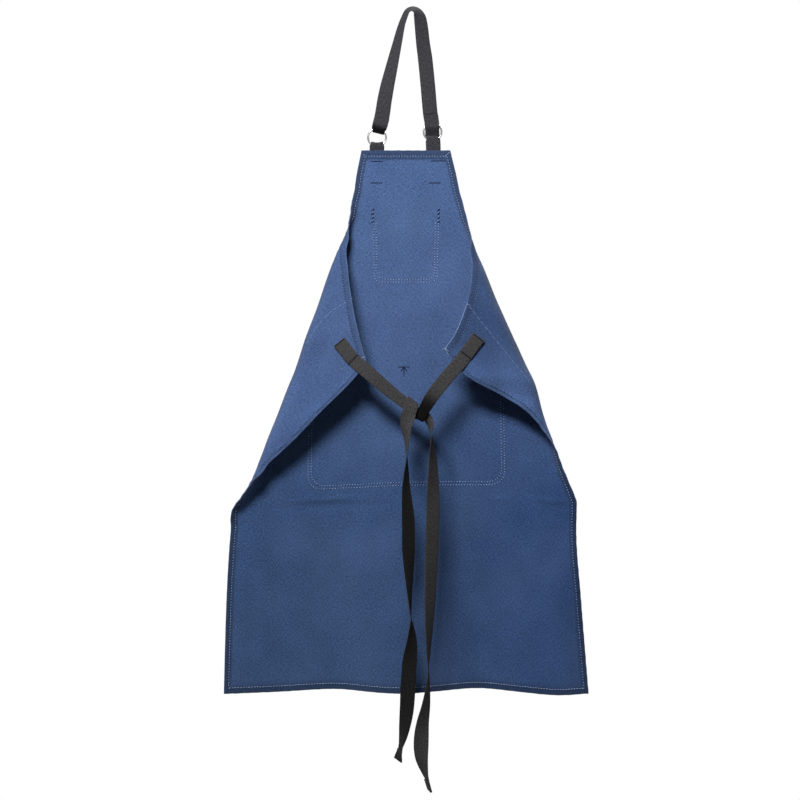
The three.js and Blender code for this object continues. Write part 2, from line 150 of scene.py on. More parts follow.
# Soft folds and dents: the place on the flat cloth, the way they run from across, their half
# length and half width, and how far they stand out on the inside of the apron
SOFT_FOLDS = table(("u", "v", "run", "length", "width", "depth"), [
    (-0.262, -0.610, 62, 0.075, 0.016, 0.0030),
    (-0.235, -0.655, 40, 0.090, 0.020, -0.0026),
    (0.262, -0.600, -58, 0.075, 0.017, 0.0032),
    (0.238, -0.650, -40, 0.080, 0.020, -0.0026),
    (-0.135, -0.835, 2, 0.060, 0.004, 0.0016),
    (-0.135, -0.846, 2, 0.075, 0.008, -0.0014),
    (0.150, -0.835, -2, 0.020, 0.004, 0.0014),
    (0.238, -0.836, -4, 0.020, 0.0036, 0.0030),
    (-0.020, -0.510, 0, 0.110, 0.030, 0.0022),
    (0.010, -0.430, 5, 0.100, 0.034, -0.0020),
    (-0.090, -0.950, 88, 0.120, 0.030, 0.0030),
    (0.075, -0.930, 92, 0.120, 0.034, -0.0030),
    (0.175, -0.960, 86, 0.140, 0.036, 0.0030),
    (-0.215, -0.980, 94, 0.120, 0.036, -0.0028),
])

# Hems: widths, how far the folded layers stand out and where the stitching runs
SIDE_HEM = 0.0095
END_HEM = 0.0125
HEM_RISE = 0.0009
HEM_SHOULDER = 0.0008
HEM_STITCH = 0.80
HEM_CELLS = (0.0, 0.08, 0.25, 0.5, 0.72, 0.80, 0.88, 0.96, 1.0)
# Share of the rise that shows on the outer face, and the dent along the stitching
OUTER_SHARE = 0.22
STITCH_DIP = 0.0003
STITCH_DIP_WIDTH = 0.0008
# The hems' rounded edges: their least height, and the share of a hem over which they rise
HEM_EDGE = {"least": 0.45, "over": 0.12}
# Puckers along the hems: height, spacing, how far they reach in, in hem widths, and the share,
# the rate and the start of a second wave that breaks up the first
PUCKER = {"height": 0.00035, "spacing": 0.017, "reach": 1.9, "second": 0.6, "rate": 0.63, "start": 1.7}
# Ribs that the thread presses into the hems
HEM_RIB = 0.0031
# Marks on the cloth, in shares of a hem: its worn edge and seam, the painted shade at its foot, and all of
# it, which is painted darker as shade
WEAR = {"edge": 0.10, "seam": 0.94, "seam_width": 0.06, "seam_share": 0.35}
HEM_FOOT_SHADE = {"in": (0.97, 1.06), "out": (1.10, 1.45)}
HEM_BAND = (0.92, 1.04)
# How strong each mark is on the inside and on the outside; the seam mark is painted shade along the
# stitching, and the hem mark painted shade over the whole hem
MARK_STRENGTH = {"wear": (0.5, 1.5), "seam": (0.35, 0.75), "hem": (1.0, 0.4)}
# Angles past which shading breaks, in degrees
SHARP = {"cloth": 50, "thread": 80}

# Stitches: length, pitch and thread radius; tacks: crosswise threads set close together
STITCH = {"length": 0.0028, "pitch": 0.0047, "radius": 0.00052}
LONG_STITCH = {"length": 0.0042, "pitch": 0.0047, "radius": 0.00056}
DARK_DOT = {"length": 0.0019, "pitch": 0.0047, "radius": 0.00046}
TACK = {"length": 0.0018, "pitch": 0.00055, "radius": 0.00036}
BAND_TACK = {"length": 0.0013, "pitch": 0.00050, "radius": 0.00020}
KNOT = {"length": 0.0018, "pitch": 0.0011, "radius": 0.00034}
CREASE = {"length": 0.0090, "pitch": 0.0104, "radius": 0.00022}
EDGE_THREAD = {"length": 0.0045, "pitch": 0.0028, "radius": 0.00036}
# Points along the lines that threads follow
POINTS = {"hem_side": 700, "hem_end": 300, "flap_edge": 300, "zigzag": 200, "mouth": 160,
          "row": 120, "pocket_side": 80, "tack": 40, "corner": 24}
STITCH_SIDES = 6
STITCH_RINGS = table(("along", "size", "rise"), [
    (-0.50, 0.45, -1.0),
    (-0.30, 1.0, 0.4),
    (0.30, 1.0, 0.4),
    (0.50, 0.45, -1.0),
])

# Patch pockets on the outer face: sides, mouth, bottom, corner radius, the share by which each
# narrows from its mouth to its bottom, and how far its lower left corner hangs down
CHEST_POCKET = {"left": -0.069, "right": 0.048, "top": -0.340, "bottom": -0.467,
                "corner": 0.012, "taper": 0.06, "droop": 0.0}
FRONT_POCKET = {"left": -0.176, "right": 0.157, "top": -0.606, "bottom": -0.812,
                "corner": 0.024, "taper": -0.02, "droop": 0.009}
POCKET_CELLS = {"across": 60, "down": 44, "corner": 10}
# How far a mouth gapes and the share of the height where that begins; the mouth's hem, its rise
# as a share of the other hems', and the rows of stitches round the pocket
POCKET_GAPE = 0.0022
GAPE_FROM = 0.1
POCKET_HEM = 0.020
POCKET_HEM_SHARE = 0.5
POCKET_ROWS = (0.0022, 0.0072)

# O-rings: radius to the middle of the wire, the wire's own radius, and the cells of a torus
RING = {"radius": 0.0153, "wire": 0.0016, "y": 0.0031}
RING_CELLS = {"section": 16, "around": 72}
LEFT_RING = {"x": -0.0595, "z": -0.2179}
RIGHT_RING = {"x": 0.035, "z": -0.2083}

# Webbing routes. swing turns the width out of the picture's plane, lean turns it within.
ROUTE_COLUMNS = ("x", "y", "z", "swing", "lean", "width")
NECK_STRAP = table(ROUTE_COLUMNS, [
    # end folded back behind the left ring
    (-0.0506, 0.0026, -0.1846, 180, 166, 0.025),
    (-0.0534, 0.0036, -0.1956, 180, 166, 0.024),
    (-0.0558, 0.0056, -0.2032, 180, 166, 0.021),
    (-0.057, 0.0056, -0.2082, 180, 166, 0.02),
    (-0.0576, 0.0031, -0.2106, 180, 166, 0.02),
    (-0.057, 0.0005, -0.2084, 180, 166, 0.02),
    (-0.0561, 0.0001, -0.2032, 180, 166, 0.025),
    # up the left leg, over the hang point and down the right leg
    (-0.0539, 0.0001, -0.1956, 180, 166, 0.026),
    (-0.0508, 0.0001, -0.182, 180, 167, 0.0255),
    (-0.0466, 0, -0.155, 174, 168, 0.025),
    (-0.042, 0, -0.131, 163, 168, 0.025),
    (-0.0365, 0, -0.107, 150, 168, 0.025),
    (-0.031, 0, -0.083, 140, 168, 0.025),
    (-0.0255, 0, -0.0595, 131, 166, 0.025),
    (-0.018, 0, -0.028, 120, 160, 0.025),
    (-0.0122, 0, -0.012, 117, 150, 0.025),
    (-0.008, 0, -0.0034, 118, 118, 0.025),
    (0, 0, 0.0006, 120, 90, 0.025),
    (0.0086, 0, -0.0032, 129, 58, 0.025),
    (0.013, 0, -0.012, 145, 20, 0.025),
    (0.0154, 0, -0.026, 155, 8, 0.025),
    (0.0189, 0, -0.0595, 163, 6, 0.025),
    (0.0222, 0, -0.083, 172, 6, 0.025),
    (0.027, 0, -0.131, 180, 5, 0.025),
    (0.0312, 0, -0.178, 180, 5, 0.025),
    (0.0334, 0.0002, -0.191, 180, 4, 0.025),
    # slack fold that lies behind the right ring's hole
    (0.0344, 0.0001, -0.2006, 180, 3, 0.025),
    (0.0347, 0.0028, -0.2056, 180, 3, 0.0235),
    (0.0349, 0.0066, -0.211, 180, 2, 0.024),
    (0.0349, 0.0089, -0.2152, 180, 2, 0.024),
    (0.0348, 0.0112, -0.211, 180, 2, 0.024),
    (0.0344, 0.0096, -0.199, 180, 3, 0.024),
    (0.0334, 0.0046, -0.19, 180, 4, 0.0245),
    (0.0322, 0.0024, -0.181, 180, 5, 0.025),
])

# Tabs that hold the rings: the levels of the sewn end and the bib's top, the length that lies
# flat below it, widths on the bib and in the ring, and where the turn starts over the wire
TAB = {"sewn_end": -0.303, "bib_top": -0.2415, "flat": 0.011, "width": 0.025,
       "ring_width": 0.0205, "rise": 0.0046, "drop": 0.004}
TAB_X = {"left": -0.0597, "right": 0.0364}
# How far the middle of a tab sinks into the ring's round, and the height over which it does
TAB_SAG = {"left": 0.0018, "right": 0.0, "height": 0.014}
# The turn over the wire, as shares of its half width
TAB_TURN = table(("y", "z"), [
    (-1, 0),
    (-0.7, 0.75),
    (0, 1.1),
    (0.7, 0.75),
    (1, 0),
])

# Ties, from the sewn end to the free end. A row without y lies on the flap, and its swing is
# measured over a short step.
ON_FLAP = math.nan
SWING_STEP = 0.001
LEFT_TIE = table(ROUTE_COLUMNS, [
    (-0.1216, ON_FLAP, -0.5676, 0, 40, 0.023),
    (-0.11, ON_FLAP, -0.5825, 0, 40, 0.023),
    (-0.099, ON_FLAP, -0.596, 0, 42, 0.023),
    (-0.072, ON_FLAP, -0.62, 0, 46, 0.023),
    (-0.0445, -0.0606, -0.644, 3, 48, 0.022),
    (-0.016, -0.0596, -0.667, 0, 50, 0.019),
    (0.002, -0.059, -0.68, 0, 58, 0.015),
    (0.014, -0.0586, -0.687, 0, 62, 0.014),
    (0.0235, -0.0582, -0.6925, 8, 56, 0.014),
    (0.0296, -0.0582, -0.703, 48, 30, 0.018),
    (0.0316, -0.0586, -0.72, 88, 0, 0.023),
    (0.034, -0.059, -0.761, 122, 0, 0.025),
    (0.0346, -0.058, -0.798, 137, 0, 0.025),
    (0.0346, -0.057, -0.843, 157, 0, 0.025),
    (0.0324, -0.056, -0.92, 150, 0, 0.025),
    (0.0296, -0.055, -0.998, 136, 0, 0.025),
    (0.028, -0.055, -1.048, 121, 0, 0.025),
    (0.0266, -0.054, -1.112, 92, 0, 0.025),
    (0.0261, -0.054, -1.14, 104, 0, 0.025),
    (0.0226, -0.054, -1.173, 126, 0, 0.025),
    (0.017, -0.053, -1.205, 150, 0, 0.025),
    (0.0148, -0.052, -1.238, 184, 0, 0.025),
    (0.0156, -0.05, -1.263, 212, -4, 0.025),
    (0.0204, -0.048, -1.286, 240, -12, 0.025),
    (0.025, -0.0465, -1.3, 252, -22, 0.025),
    (0.03, -0.045, -1.317, 254, -26, 0.025),
])
RIGHT_TIE = table(ROUTE_COLUMNS, [
    (0.1105, ON_FLAP, -0.56, 0, -44, 0.0235),
    (0.098, ON_FLAP, -0.577, 0, -42, 0.0235),
    (0.085, ON_FLAP, -0.5945, 0, -41, 0.0235),
    (0.071, -0.0682, -0.6115, 0, -40, 0.0235),
    (0.0565, -0.0686, -0.6285, 0, -39, 0.0235),
    (0.0426, -0.0682, -0.6455, 0, -37, 0.023),
    (0.03, -0.0672, -0.663, 0, -34, 0.022),
    (0.0186, -0.0644, -0.6826, 0, -30, 0.019),
    # round the left tie: under it, up behind it and over its top edge
    (0.013, -0.0628, -0.691, 0, -28, 0.018),
    (0.0118, -0.0619, -0.6958, 0, -27, 0.017),
    (0.0108, -0.0596, -0.6974, 0, -26, 0.016),
    (0.0105, -0.0562, -0.6962, 0, -25, 0.014),
    (0.0092, -0.0552, -0.6906, 0, -16, 0.012),
    (0.006, -0.0552, -0.685, 0, 14, 0.009),
    (-0.001, -0.055, -0.6806, 0, 42, 0.007),
    (-0.0066, -0.055, -0.6774, 0, 30, 0.007),
    (-0.0084, -0.055, -0.6734, 0, -6, 0.007),
    (-0.0064, -0.0551, -0.67, 0, -30, 0.0075),
    (-0.0028, -0.0562, -0.6676, 0, -40, 0.013),
    (0.0002, -0.0592, -0.6652, 0, -40, 0.019),
    (0.0012, -0.0628, -0.6648, 0, -40, 0.021),
    (0.0004, -0.0664, -0.6676, 0, -38, 0.022),
    (-0.0018, -0.068, -0.674, 0, -34, 0.023),
    (-0.006, -0.068, -0.688, 2, -20, 0.024),
    (-0.01, -0.066, -0.704, 36, -8, 0.025),
    (-0.0094, -0.063, -0.731, 71, 0, 0.025),
    (-0.0091, -0.061, -0.761, 92, 0, 0.025),
    (-0.0102, -0.06, -0.808, 121, 0, 0.025),
    (-0.0068, -0.058, -0.865, 148, 0, 0.025),
    (-0.0062, -0.057, -0.912, 150, 0, 0.025),
    (-0.0056, -0.056, -0.943, 132, 0, 0.025),
    (-0.0044, -0.056, -0.985, 109, 0, 0.025),
    (-0.0022, -0.055, -1.028, 90, 0, 0.025),
    (-0.0008, -0.055, -1.065, 132, 0, 0.025),
    (-0.0046, -0.054, -1.103, 170, 0, 0.025),
    (-0.0071, -0.054, -1.143, 182, 0, 0.025),
    (-0.0094, -0.053, -1.182, 202, -4, 0.025),
    (-0.015, -0.05, -1.222, 236, -8, 0.025),
    (-0.019, -0.048, -1.241, 256, -10, 0.025),
    (-0.0206, -0.047, -1.253, 256, -12, 0.025),
    (-0.023, -0.046, -1.266, 240, -16, 0.025),
])
# Half of a webbing's section, as shares of half its width and half its thickness
BAND_SECTION = table(("across", "thick"), [
    (1.0, 0.0),
    (0.985, 0.62),
    (0.93, 1.0),
    (0.6, 0.94),
    (0.2, 0.94),
    (-0.2, 0.94),
    (-0.6, 0.94),
    (-0.93, 1.0),
    (-0.985, 0.62),
])
# Webbing ends: the folded hem at a tie's free end, its sewn end with two tacks, and how far from
# the strap's own end its right leg is sewn
TIE_HEM = 0.018
TIE_SEWN = 0.039
TIE_TACKS = ((0.0018, TACK), (0.037, BAND_TACK))
STRAP_SEWN = 0.077
# Tacks across the webbing: their share of its width, where one lies past a tie's hem, and how far
# from a tab's end two lie
TACK_SPAN = 0.86
HEM_TACK = 0.002
TAB_TACKS = (0.008, 0.044)
# A second layer of webbing: its gap to the first and its width as a share of the first's
LAYER = {"gap": SEWN_GAP / 4, "width": 0.985}
# Painted shade on the right side, in the folds: lengths along the webbing and their reach
STRAP_FOLD_SHADE = {"at": (0.034, 0.488), "reach": 0.006}
TIE_FOLD_SHADE = {"left": (), "right": (0.154, 0.170, 0.186), "reach": 0.021}
# How dark that painted shade is, and how much painted shade each tie's other face gets
FOLD_SHADE = 1.7
TIE_FACE_SHADE = {"left": 0.10, "right": 0.88}

# Tacks that hold the ring tabs and the pocket: place on the flat cloth, direction, length and face,
# 1 inside and -1 outside
TACK_COLUMNS = ("u", "v", "run", "length", "face")
BIB_TACKS = table(TACK_COLUMNS, [
    (-0.0600, -0.2592, 0, 0.0200, 1),
    (0.0447, -0.2584, 0, 0.0245, 1),
    (-0.0603, -0.2958, 0, 0.0204, 1),
    (0.0387, -0.2958, 0, 0.0196, 1),
    (-0.0140, -0.6086, 0, 0.0196, 1),
    (-0.0136, -0.6160, 90, 0.0150, 1),
    (-0.0165, -0.6128, 58, 0.0070, 1),
    (-0.0106, -0.6128, -58, 0.0070, 1),
])

# Zigzag tacks at the ends of each pocket's mouth: how far in, their length, and one leg's size
ZIGZAG = {"inset": 0.0026, "length": 0.0225, "width": 0.0046, "rise": 0.0034}
# Every second leg is dark: first place along a pair of legs, share of a leg that shows, thread
DARK_LEGS = {"begin": 0.25, "share": 1.15, "radius": 0.00085}
PALE_LEGS = {"begin": 0.75, "share": 0.35, "radius": 0.00050}

# Worn creases that cross the flaps from the armhole to the side, on the flat cloth
FLAP_CREASES = {
    "left": ((-0.231, -0.493), (-0.209, -0.521), (-0.211, -0.575)),
    "right": ((0.226, -0.508), (0.231, -0.535), (0.236, -0.583), (0.238, -0.640)),
}
# The worn edge of the right flap, from the armhole round the flap's corner: paler below fray
FLAP_EDGE = {"top": -0.388, "fray": -0.502, "bottom": -0.589, "inset": 0.0006}
# Pale thread knots where the hems' rows begin and end
THREAD_KNOTS = table(TACK_COLUMNS, [
    (-0.0818, -0.2490, 20, 0.003, 1),
    (0.0595, -0.2479, 43, 0.012, 1),
    (-0.3085, -1.1552, 35, 0.003, 1),
    (0.2880, -1.1550, -35, 0.003, 1),
    (-0.3200, -0.5950, -22, 0.011, -1),
    (0.3390, -0.5800, -35, 0.005, -1),
    (0.3335, -0.5815, 75, 0.006, -1),
    (0.2250, -0.5060, 20, 0.005, -1),
    (-0.2970, -0.6130, 60, 0.0024, -1),
])
# The front pocket's divider: two rows of stitches down from the tack at its mouth
DIVIDER = {"u": (-0.0152, -0.0118), "top": -0.626, "bottom": -0.656}

# Studio: lamps with their place, aim, size and power, the light from all round, and the floor
LAMPS = {
    "key": {"at": (-0.60, -1.80, 0.95), "aim": (0.0, 0.0, -0.45), "size": (0.9, 0.5), "power": 80},
    "fill": {"at": (1.7, -2.3, -0.2), "aim": (0.0, 0.0, -0.75), "size": (1.8, 1.8), "power": 2},
    "back": {"at": (0.6, 1.4, 1.1), "aim": (0.0, 0.0, -0.50), "size": (2.0, 0.8), "power": 62},
}
AMBIENT = 0.009
MIRRORED = 0.42
FLOOR = {"z": -1.85, "radius": 1.2, "corners": 96}

# Colours, as linear red, green and blue
CANVAS_BLUE = (0.064, 0.118, 0.271)
CANVAS_WORN = (0.135, 0.215, 0.420)
# Painted shade: the skirt is tinted darker low down, on the left and more on the right, where the light
# falls off
LOW_LEFT_SHADE = (0.62, 0.73, 0.775)
LOW_RIGHT_SHADE = (0.46, 0.61, 0.73)
# Painted light and shade on the outer face: tints above and below the waist, on the left and on the right;
# darker above, lighter below
OUTER_TOP_SHADE_TINTS = ((0.90, 0.90, 0.91), (0.55, 0.61, 0.67))
OUTER_LOW_LIGHT_TINTS = ((1.06, 1.06, 1.08), (1.46, 1.50, 1.52))
# The strap and the ties are one webbing: the difference between their greys is painted light and shade
STRAP_GREY = (0.040, 0.039, 0.045)
TIE_GREY = (0.052, 0.050, 0.052)
NICKEL = (0.66, 0.65, 0.64)
FLOOR_GREY = (0.60, 0.60, 0.60)
WHITE = (1, 1, 1)
# Threads, and dark dots between the stitches
THREADS = {
    "blue_thread": (0.330, 0.450, 0.760),
    "pale_thread": (0.380, 0.450, 0.600),
    "navy_thread": (0.006, 0.008, 0.018),
    "dark_stitch_dots": (0.010, 0.020, 0.055),
    "deep_thread": (0.125, 0.200, 0.400),
}
# Painted shade on the webbing: its darkest tone, as a share of the right side's
WEBBING_SHADE_TONE = 0.20
# Darkest and palest tones, as shares of a colour, and the painted shade in grooves: its tone and how much of
# it shows
TONES = {"canvas": (0.46, 1.56), "webbing": (0.55, 1.55), "thread": (0.5, 1.25), "floor": (0.97, 1.0)}
GROOVE_SHADE = {"tone": 0.3, "share": 0.6}
DULL_NICKEL = 0.7
# Pitches of the weaves, of the webbing's herringbone and of the thread's twist; how far a
# crossing thread dips, and how high the webbing's ends stand beside its ribs
WEAVE_PITCH = 0.0009
WEBBING_PITCH = 0.0017
HERRINGBONE = 0.0031
TWIST_PITCH = 0.0008
CROSSING = 0.7
WEBBING_ENDS = 0.6
# Settings of each finish, and the strength and depth of its bumps
FINISHES = {
    "canvas": {"Roughness": 0.92, "Specular IOR Level": 0.08,
               "Sheen Weight": 0.12, "Sheen Roughness": 0.6},
    "webbing": {"Roughness": 0.85, "Specular IOR Level": 0.06,
                "Sheen Weight": 0.04, "Sheen Roughness": 0.5},
    "thread": {"Roughness": 0.6, "Specular IOR Level": 0.10},
    "nickel": {"Roughness": 0.2, "Metallic": 1.0},
    "floor": {"Roughness": 0.8},
}
BUMPS = {"canvas": (0.55, 0.00035), "webbing": (0.6, 0.0004), "thread": (0.4, 0.0001),
         "nickel": (0.12, 0.00005)}
# Noises: how often they vary along each axis, in cycles a metre, and their detail
NOISES = {
    "slubs": (900, 240, 1, 2.0),
    "picks": (240, 900, 1, 2.0),
    "speckle": (900, 900, 1, 2.0),
    "fading": (9, 9, 1, 4.0),
    "patches": (26, 16, 1, 3.0),
    "frayed": (160, 160, 1, 3.0),
    "fluff": (620, 260, 1, 2.0),
    "rubbed": (230, 230, 230, 1.0),
    "scratches": (160, 2600, 1, 4.0),
    "spots": (320, 320, 1, 3.0),
    "mottle": (2, 2, 2, 3.0),
}
# The noises that together make the grain of the canvas
GRAIN_NOISES = ("slubs", "picks", "speckle")
# Spreads: the range of a value that comes in, and what its ends turn into
SPREADS = {
    "grain": (0.40, 0.60, 0.0, 1.0),
    "skirt_across": (0.0, 0.20, 0.0, 1.0),
    "skirt_down": (-0.57, -0.82, 0.0, 1.0),
    "outer_across": (-0.05, 0.05, 0.0, 1.0),
    "outer_down": (-0.57, -0.67, 0.0, 1.0),
    "fading": (0.35, 0.75, 0.0, 0.18),
    "frayed": (0.35, 0.7, 0.1, 0.8),
    "weave": (0.2, 1.2, 0.62, 1.06),
    "patches": (0.3, 0.7, 0.93, 1.07),
    "ribs": (-1.0, 1.0, 0.70, 1.30),
    "hem": (0.0, 1.0, 1.0, 0.50),
    "fluff": (0.3, 0.7, 0.0, 1.0),
    "webbing": (0.1, 1.4, 0.42, 1.24),
    "rubbed": (0.35, 0.65, 0.35, 1.0),
    "twist": (-1.0, 1.0, 0.5, 1.0),
    "roughness": (0.35, 0.7, 0.10, 0.30),
    "dull": (0.5, 0.8, 0.0, 0.5),
    "light": (0.0, 1.0, AMBIENT, MIRRORED),
}
# Numbers of the sockets of a mix node that hold colours
MIX_SOCKETS = {"a": 6, "b": 7, "result": 2}


def between(places, values, at):
    """Values of a table's column at places between its rows, on a curve that never overshoots."""
    order = np.argsort(places)
    x, y = places[order], values[order]
    at = np.clip(at, x[0], x[-1])
    slope = np.diff(y) / np.diff(x)
    product = slope[:-1] * slope[1:]
    total = np.where(product > 0, slope[:-1] + slope[1:], 1)
    inner = np.where(product > 0, 2 * product / total, 0)
    tangent = np.concatenate([slope[:1], inner, slope[-1:]])
    i = np.clip(np.searchsorted(x, at) - 1, 0, len(x) - 2)
    step = x[i + 1] - x[i]
    t = (at - x[i]) / step
    ends = y[i] * (1 + 2 * t) * (1 - t) ** 2 + y[i + 1] * t * t * (3 - 2 * t)
    bends = tangent[i] * t * (1 - t) ** 2 - tangent[i + 1] * t * t * (1 - t)
    return ends + bends * step


def smoothstep(low, high, at):
    """A soft step from 0 at low to 1 at high."""
    t = np.clip((at - low) / (high - low), 0, 1)
    return t * t * (3 - 2 * t)


def unit(vectors):
    """Vectors brought to length 1."""
    return vectors / np.linalg.norm(vectors, axis=-1, keepdims=True)


def lengths_along(points):
    """Lengths from the first of a line of points to each of them."""
    return np.concatenate([[0], np.cumsum(np.linalg.norm(np.diff(points, axis=0), axis=1))])


def side_lengths(rows):
    """A side table as lengths along the cloth at each level: flat panel, curl and flap."""
    turn = np.radians(rows["turn"])
    flat = rows["turn"] == 0
    folded = rows["turn"] > 90
    curl = np.where(flat, FLAT_CURL, rows["radius"] * turn)
    reach = np.where(flat, curl, rows["radius"] * np.sin(turn))
    flat_end = rows["fold"] - reach - SHORTEST_FLAP * np.cos(turn)
    start = np.where(folded, rows["fold"] - rows["radius"], flat_end)
    back = -(start + reach - rows["edge"]) / np.cos(turn)
    flap = np.where(folded, np.maximum(SHORTEST_FLAP, back), SHORTEST_FLAP)
    return {"z": rows["z"], "start": start, "curl": curl, "turn": turn, "flap": flap}


SIDES = {-1: side_lengths(LEFT_SIDE), 1: side_lengths(RIGHT_SIDE)}


def lengths_at(sign, v):
    """The panel, curl, turn and flap of one side at each level."""
    rows = SIDES[sign]
    return [between(rows["z"], rows[name], v) for name in ("start", "curl", "turn", "flap")]


def free_edge(sign, v):
    """How far out the cloth's free edge lies on the flat cloth."""
    start, curl, _, flap = lengths_at(sign, v)
    return start + curl + flap


def edge_slant(sign, v):
    """Length along a level for each unit of distance from the free edge."""
    slope = (free_edge(sign, v + NUDGE) - free_edge(sign, v - NUDGE)) / (2 * NUDGE)
    return np.sqrt(1 + slope ** 2)


def flute(x, column):
    """A column of the flutes' table, with its crests rounded off."""
    steps = [between(FLUTES["x"], FLUTES[column], x + step) for step in FLUTE_ROUNDING]
    return np.mean(steps, axis=0)


def sheet_point(u, v):
    """The middle of the hanging sheet. u runs across the flat cloth and v up it."""
    sign = np.where(u < MIDDLE_X, -1.0, 1.0)
    sides = zip(lengths_at(-1, v), lengths_at(1, v))
    start, curl, turn, _ = [np.where(sign < 0, left, right) for left, right in sides]
    turn = np.maximum(turn, LEAST_TURN)
    past = np.maximum(sign * u - start, 0)
    beyond = np.maximum(past - curl, 0)
    round_angle = turn * np.minimum(past / curl, 1)
    radius = curl / turn
    curled = start + radius * np.sin(round_angle) + beyond * np.cos(turn)
    x = sign * np.where(past > 0, curled, sign * u)
    forward = radius * (1 - np.cos(round_angle)) + beyond * np.sin(turn)
    fall = smoothstep(-FLUTE_TOP, -HEM_Z, -v)
    y = fall * flute(x, "depth") - forward
    z = v + fall * flute(x, "rise")
    return np.stack([x, y, z], -1)


def facing(point, u, v):
    """Normals of a sheet, on the inside of the apron."""
    across = point(u + NUDGE, v) - point(u - NUDGE, v)
    down = point(u, v - NUDGE) - point(u, v + NUDGE)
    return unit(np.cross(down, across))


def soft_relief(u, v):
    """How far the soft folds stand out at each place of the flat cloth."""
    relief = np.zeros_like(u)
    for fold_u, fold_v, run, length, width, depth in zip(*SOFT_FOLDS.values()):
        angle = math.radians(run)
        du, dv = u - fold_u, v - fold_v
        along = (du * math.cos(angle) + dv * math.sin(angle)) / length
        across = (dv * math.cos(angle) - du * math.sin(angle)) / width
        relief += depth * np.exp(-along ** 2 - across ** 2)
    return relief


def edge_shares(u, v):
    """Distances from the side edge and from the end edge, as shares of their hems."""
    sign = np.where(u < MIDDLE_X, -1.0, 1.0)
    edge = np.where(sign < 0, free_edge(-1, v), free_edge(1, v))
    slant = np.where(sign < 0, edge_slant(-1, v), edge_slant(1, v))
    side = (edge - sign * u) / slant / SIDE_HEM
    ends = np.minimum(BIB_TOP - v, v - HEM_Z) / END_HEM
    return side, ends


def hem_share(u, v):
    """Distance from the nearest edge as a share of that edge's hem."""
    return np.minimum(*edge_shares(u, v))


def puckers(u, v):
    """Small waves that the stitching draws along the hems."""
    turns = 2 * math.pi * (u + v) / PUCKER["spacing"]
    waves = np.sin(turns) + PUCKER["second"] * np.sin(PUCKER["rate"] * turns + PUCKER["start"])
    return PUCKER["height"] * waves * np.exp(-(hem_share(u, v) / PUCKER["reach"]) ** 2)


def cloth_point(u, v):
    """The middle of the cloth with its soft folds and puckers."""
    inside = facing(sheet_point, u, v)
    return sheet_point(u, v) + inside * (soft_relief(u, v) + puckers(u, v))[..., None]


def raised(u, v, lift):
    """Places set off from the cloth's middle towards its inside, and the normals there."""
    inside = facing(cloth_point, u, v)
    return cloth_point(u, v) + inside * lift[..., None], inside


def stitch_dip(share):
    """The dent along a hem's stitching, from 0 to 1."""
    return np.exp(-((share - HEM_STITCH) * SIDE_HEM / STITCH_DIP_WIDTH) ** 2)


def face_lift(u, v, face):
    """Distance from the cloth's middle to its inside (face 1) or its outside (face -1)."""
    share = hem_share(u, v)
    layers = 1 - smoothstep(1.0, 1.0 + HEM_SHOULDER / SIDE_HEM, share)
    rounded = HEM_EDGE["least"] + (1 - HEM_EDGE["least"]) * smoothstep(0.0, HEM_EDGE["over"], share)
    reach = HEM_RISE * (1.0 if face > 0 else OUTER_SHARE)
    return CANVAS / 2 + reach * layers * rounded - STITCH_DIP * stitch_dip(share)


def put_in_scene(name, data):
    """An object for a mesh, a lamp or a camera."""
    made = bpy.data.objects.new(name, data)
    bpy.context.scene.collection.objects.link(made)
    return made


def add_object(name, points, faces, flat, material, sharp=SHARP["cloth"], marks=None):
    """A mesh object. flat gives each point's place on the flat cloth, and marks its wear."""
    mesh = bpy.data.meshes.new(name)
    mesh.from_pydata(points.reshape(-1, 3).tolist(), [], faces)
    mesh.validate()
    flat_map = mesh.attributes.new("flat", "FLOAT_VECTOR", "POINT")
    flat_map.data.foreach_set("vector", flat.reshape(-1).astype(np.float32))
    for mark, values in (marks or {}).items():
        mark_map = mesh.attributes.new(mark, "FLOAT", "POINT")
        mark_map.data.foreach_set("value", values.reshape(-1).astype(np.float32))
    mesh.polygons.foreach_set("use_smooth", [True] * len(mesh.polygons))
    mesh.set_sharp_from_angle(angle=math.radians(sharp))
    mesh.materials.append(material)
    return put_in_scene(name, mesh)


def wall_faces(rows, columns):
    """Quads of a closed wall between two grids of points, each numbered row by row."""
    grid = np.arange(rows * columns).reshape(rows, columns)
    corners = [grid[:-1, :-1], grid[1:, :-1], grid[1:, 1:], grid[:-1, 1:]]
    quads = np.stack(corners, -1).reshape(-1, len(corners))
    loop = np.concatenate([grid[0], grid[1:, -1], grid[-1, -2::-1], grid[-2:0:-1, 0]])
    after = np.roll(loop, -1)
    rim = np.stack([loop, after, after + grid.size, loop + grid.size], -1)
    return np.concatenate([quads, quads[:, ::-1] + grid.size, rim]).tolist()


def tube_faces(rings, sides, closed=False):
    """Faces of a tube of rings of points: capped at its ends, or closed to a torus."""
    faces = []
    for r in range(rings if closed else rings - 1):
        near, far = r * sides, (r + 1) % rings * sides
        for k in range(sides):
            after = (k + 1) % sides
            faces.append((near + k, near + after, far + after, far + k))
    if not closed:
        faces.append(tuple(range(sides))[::-1])
        faces.append(tuple((rings - 1) * sides + k for k in range(sides)))
    return faces


def wall_object(name, front, back, u, v, material, marks):
    """A closed wall between a front and a back grid, with a pair of values for each mark."""
    flat = np.stack([u, v, np.zeros_like(u)], -1)
    points = np.stack([front, back])
    marks = {mark: np.stack(pair) for mark, pair in marks.items()}
    return add_object(name, points, wall_faces(*u.shape), np.stack([flat, flat]), material, marks=marks)


def cloth_levels():
    """Levels of the cloth from top to bottom, closer together at the hems."""
    ends = np.array(HEM_CELLS) * END_HEM
    count = round((BIB_TOP - HEM_Z - 2 * END_HEM) / CLOTH_ROW)
    inset = END_HEM + HEM_SHOULDER
    between_hems = np.linspace(BIB_TOP - inset, HEM_Z + inset, count)
    return np.concatenate([BIB_TOP - ends, between_hems, (HEM_Z + ends)[::-1]])


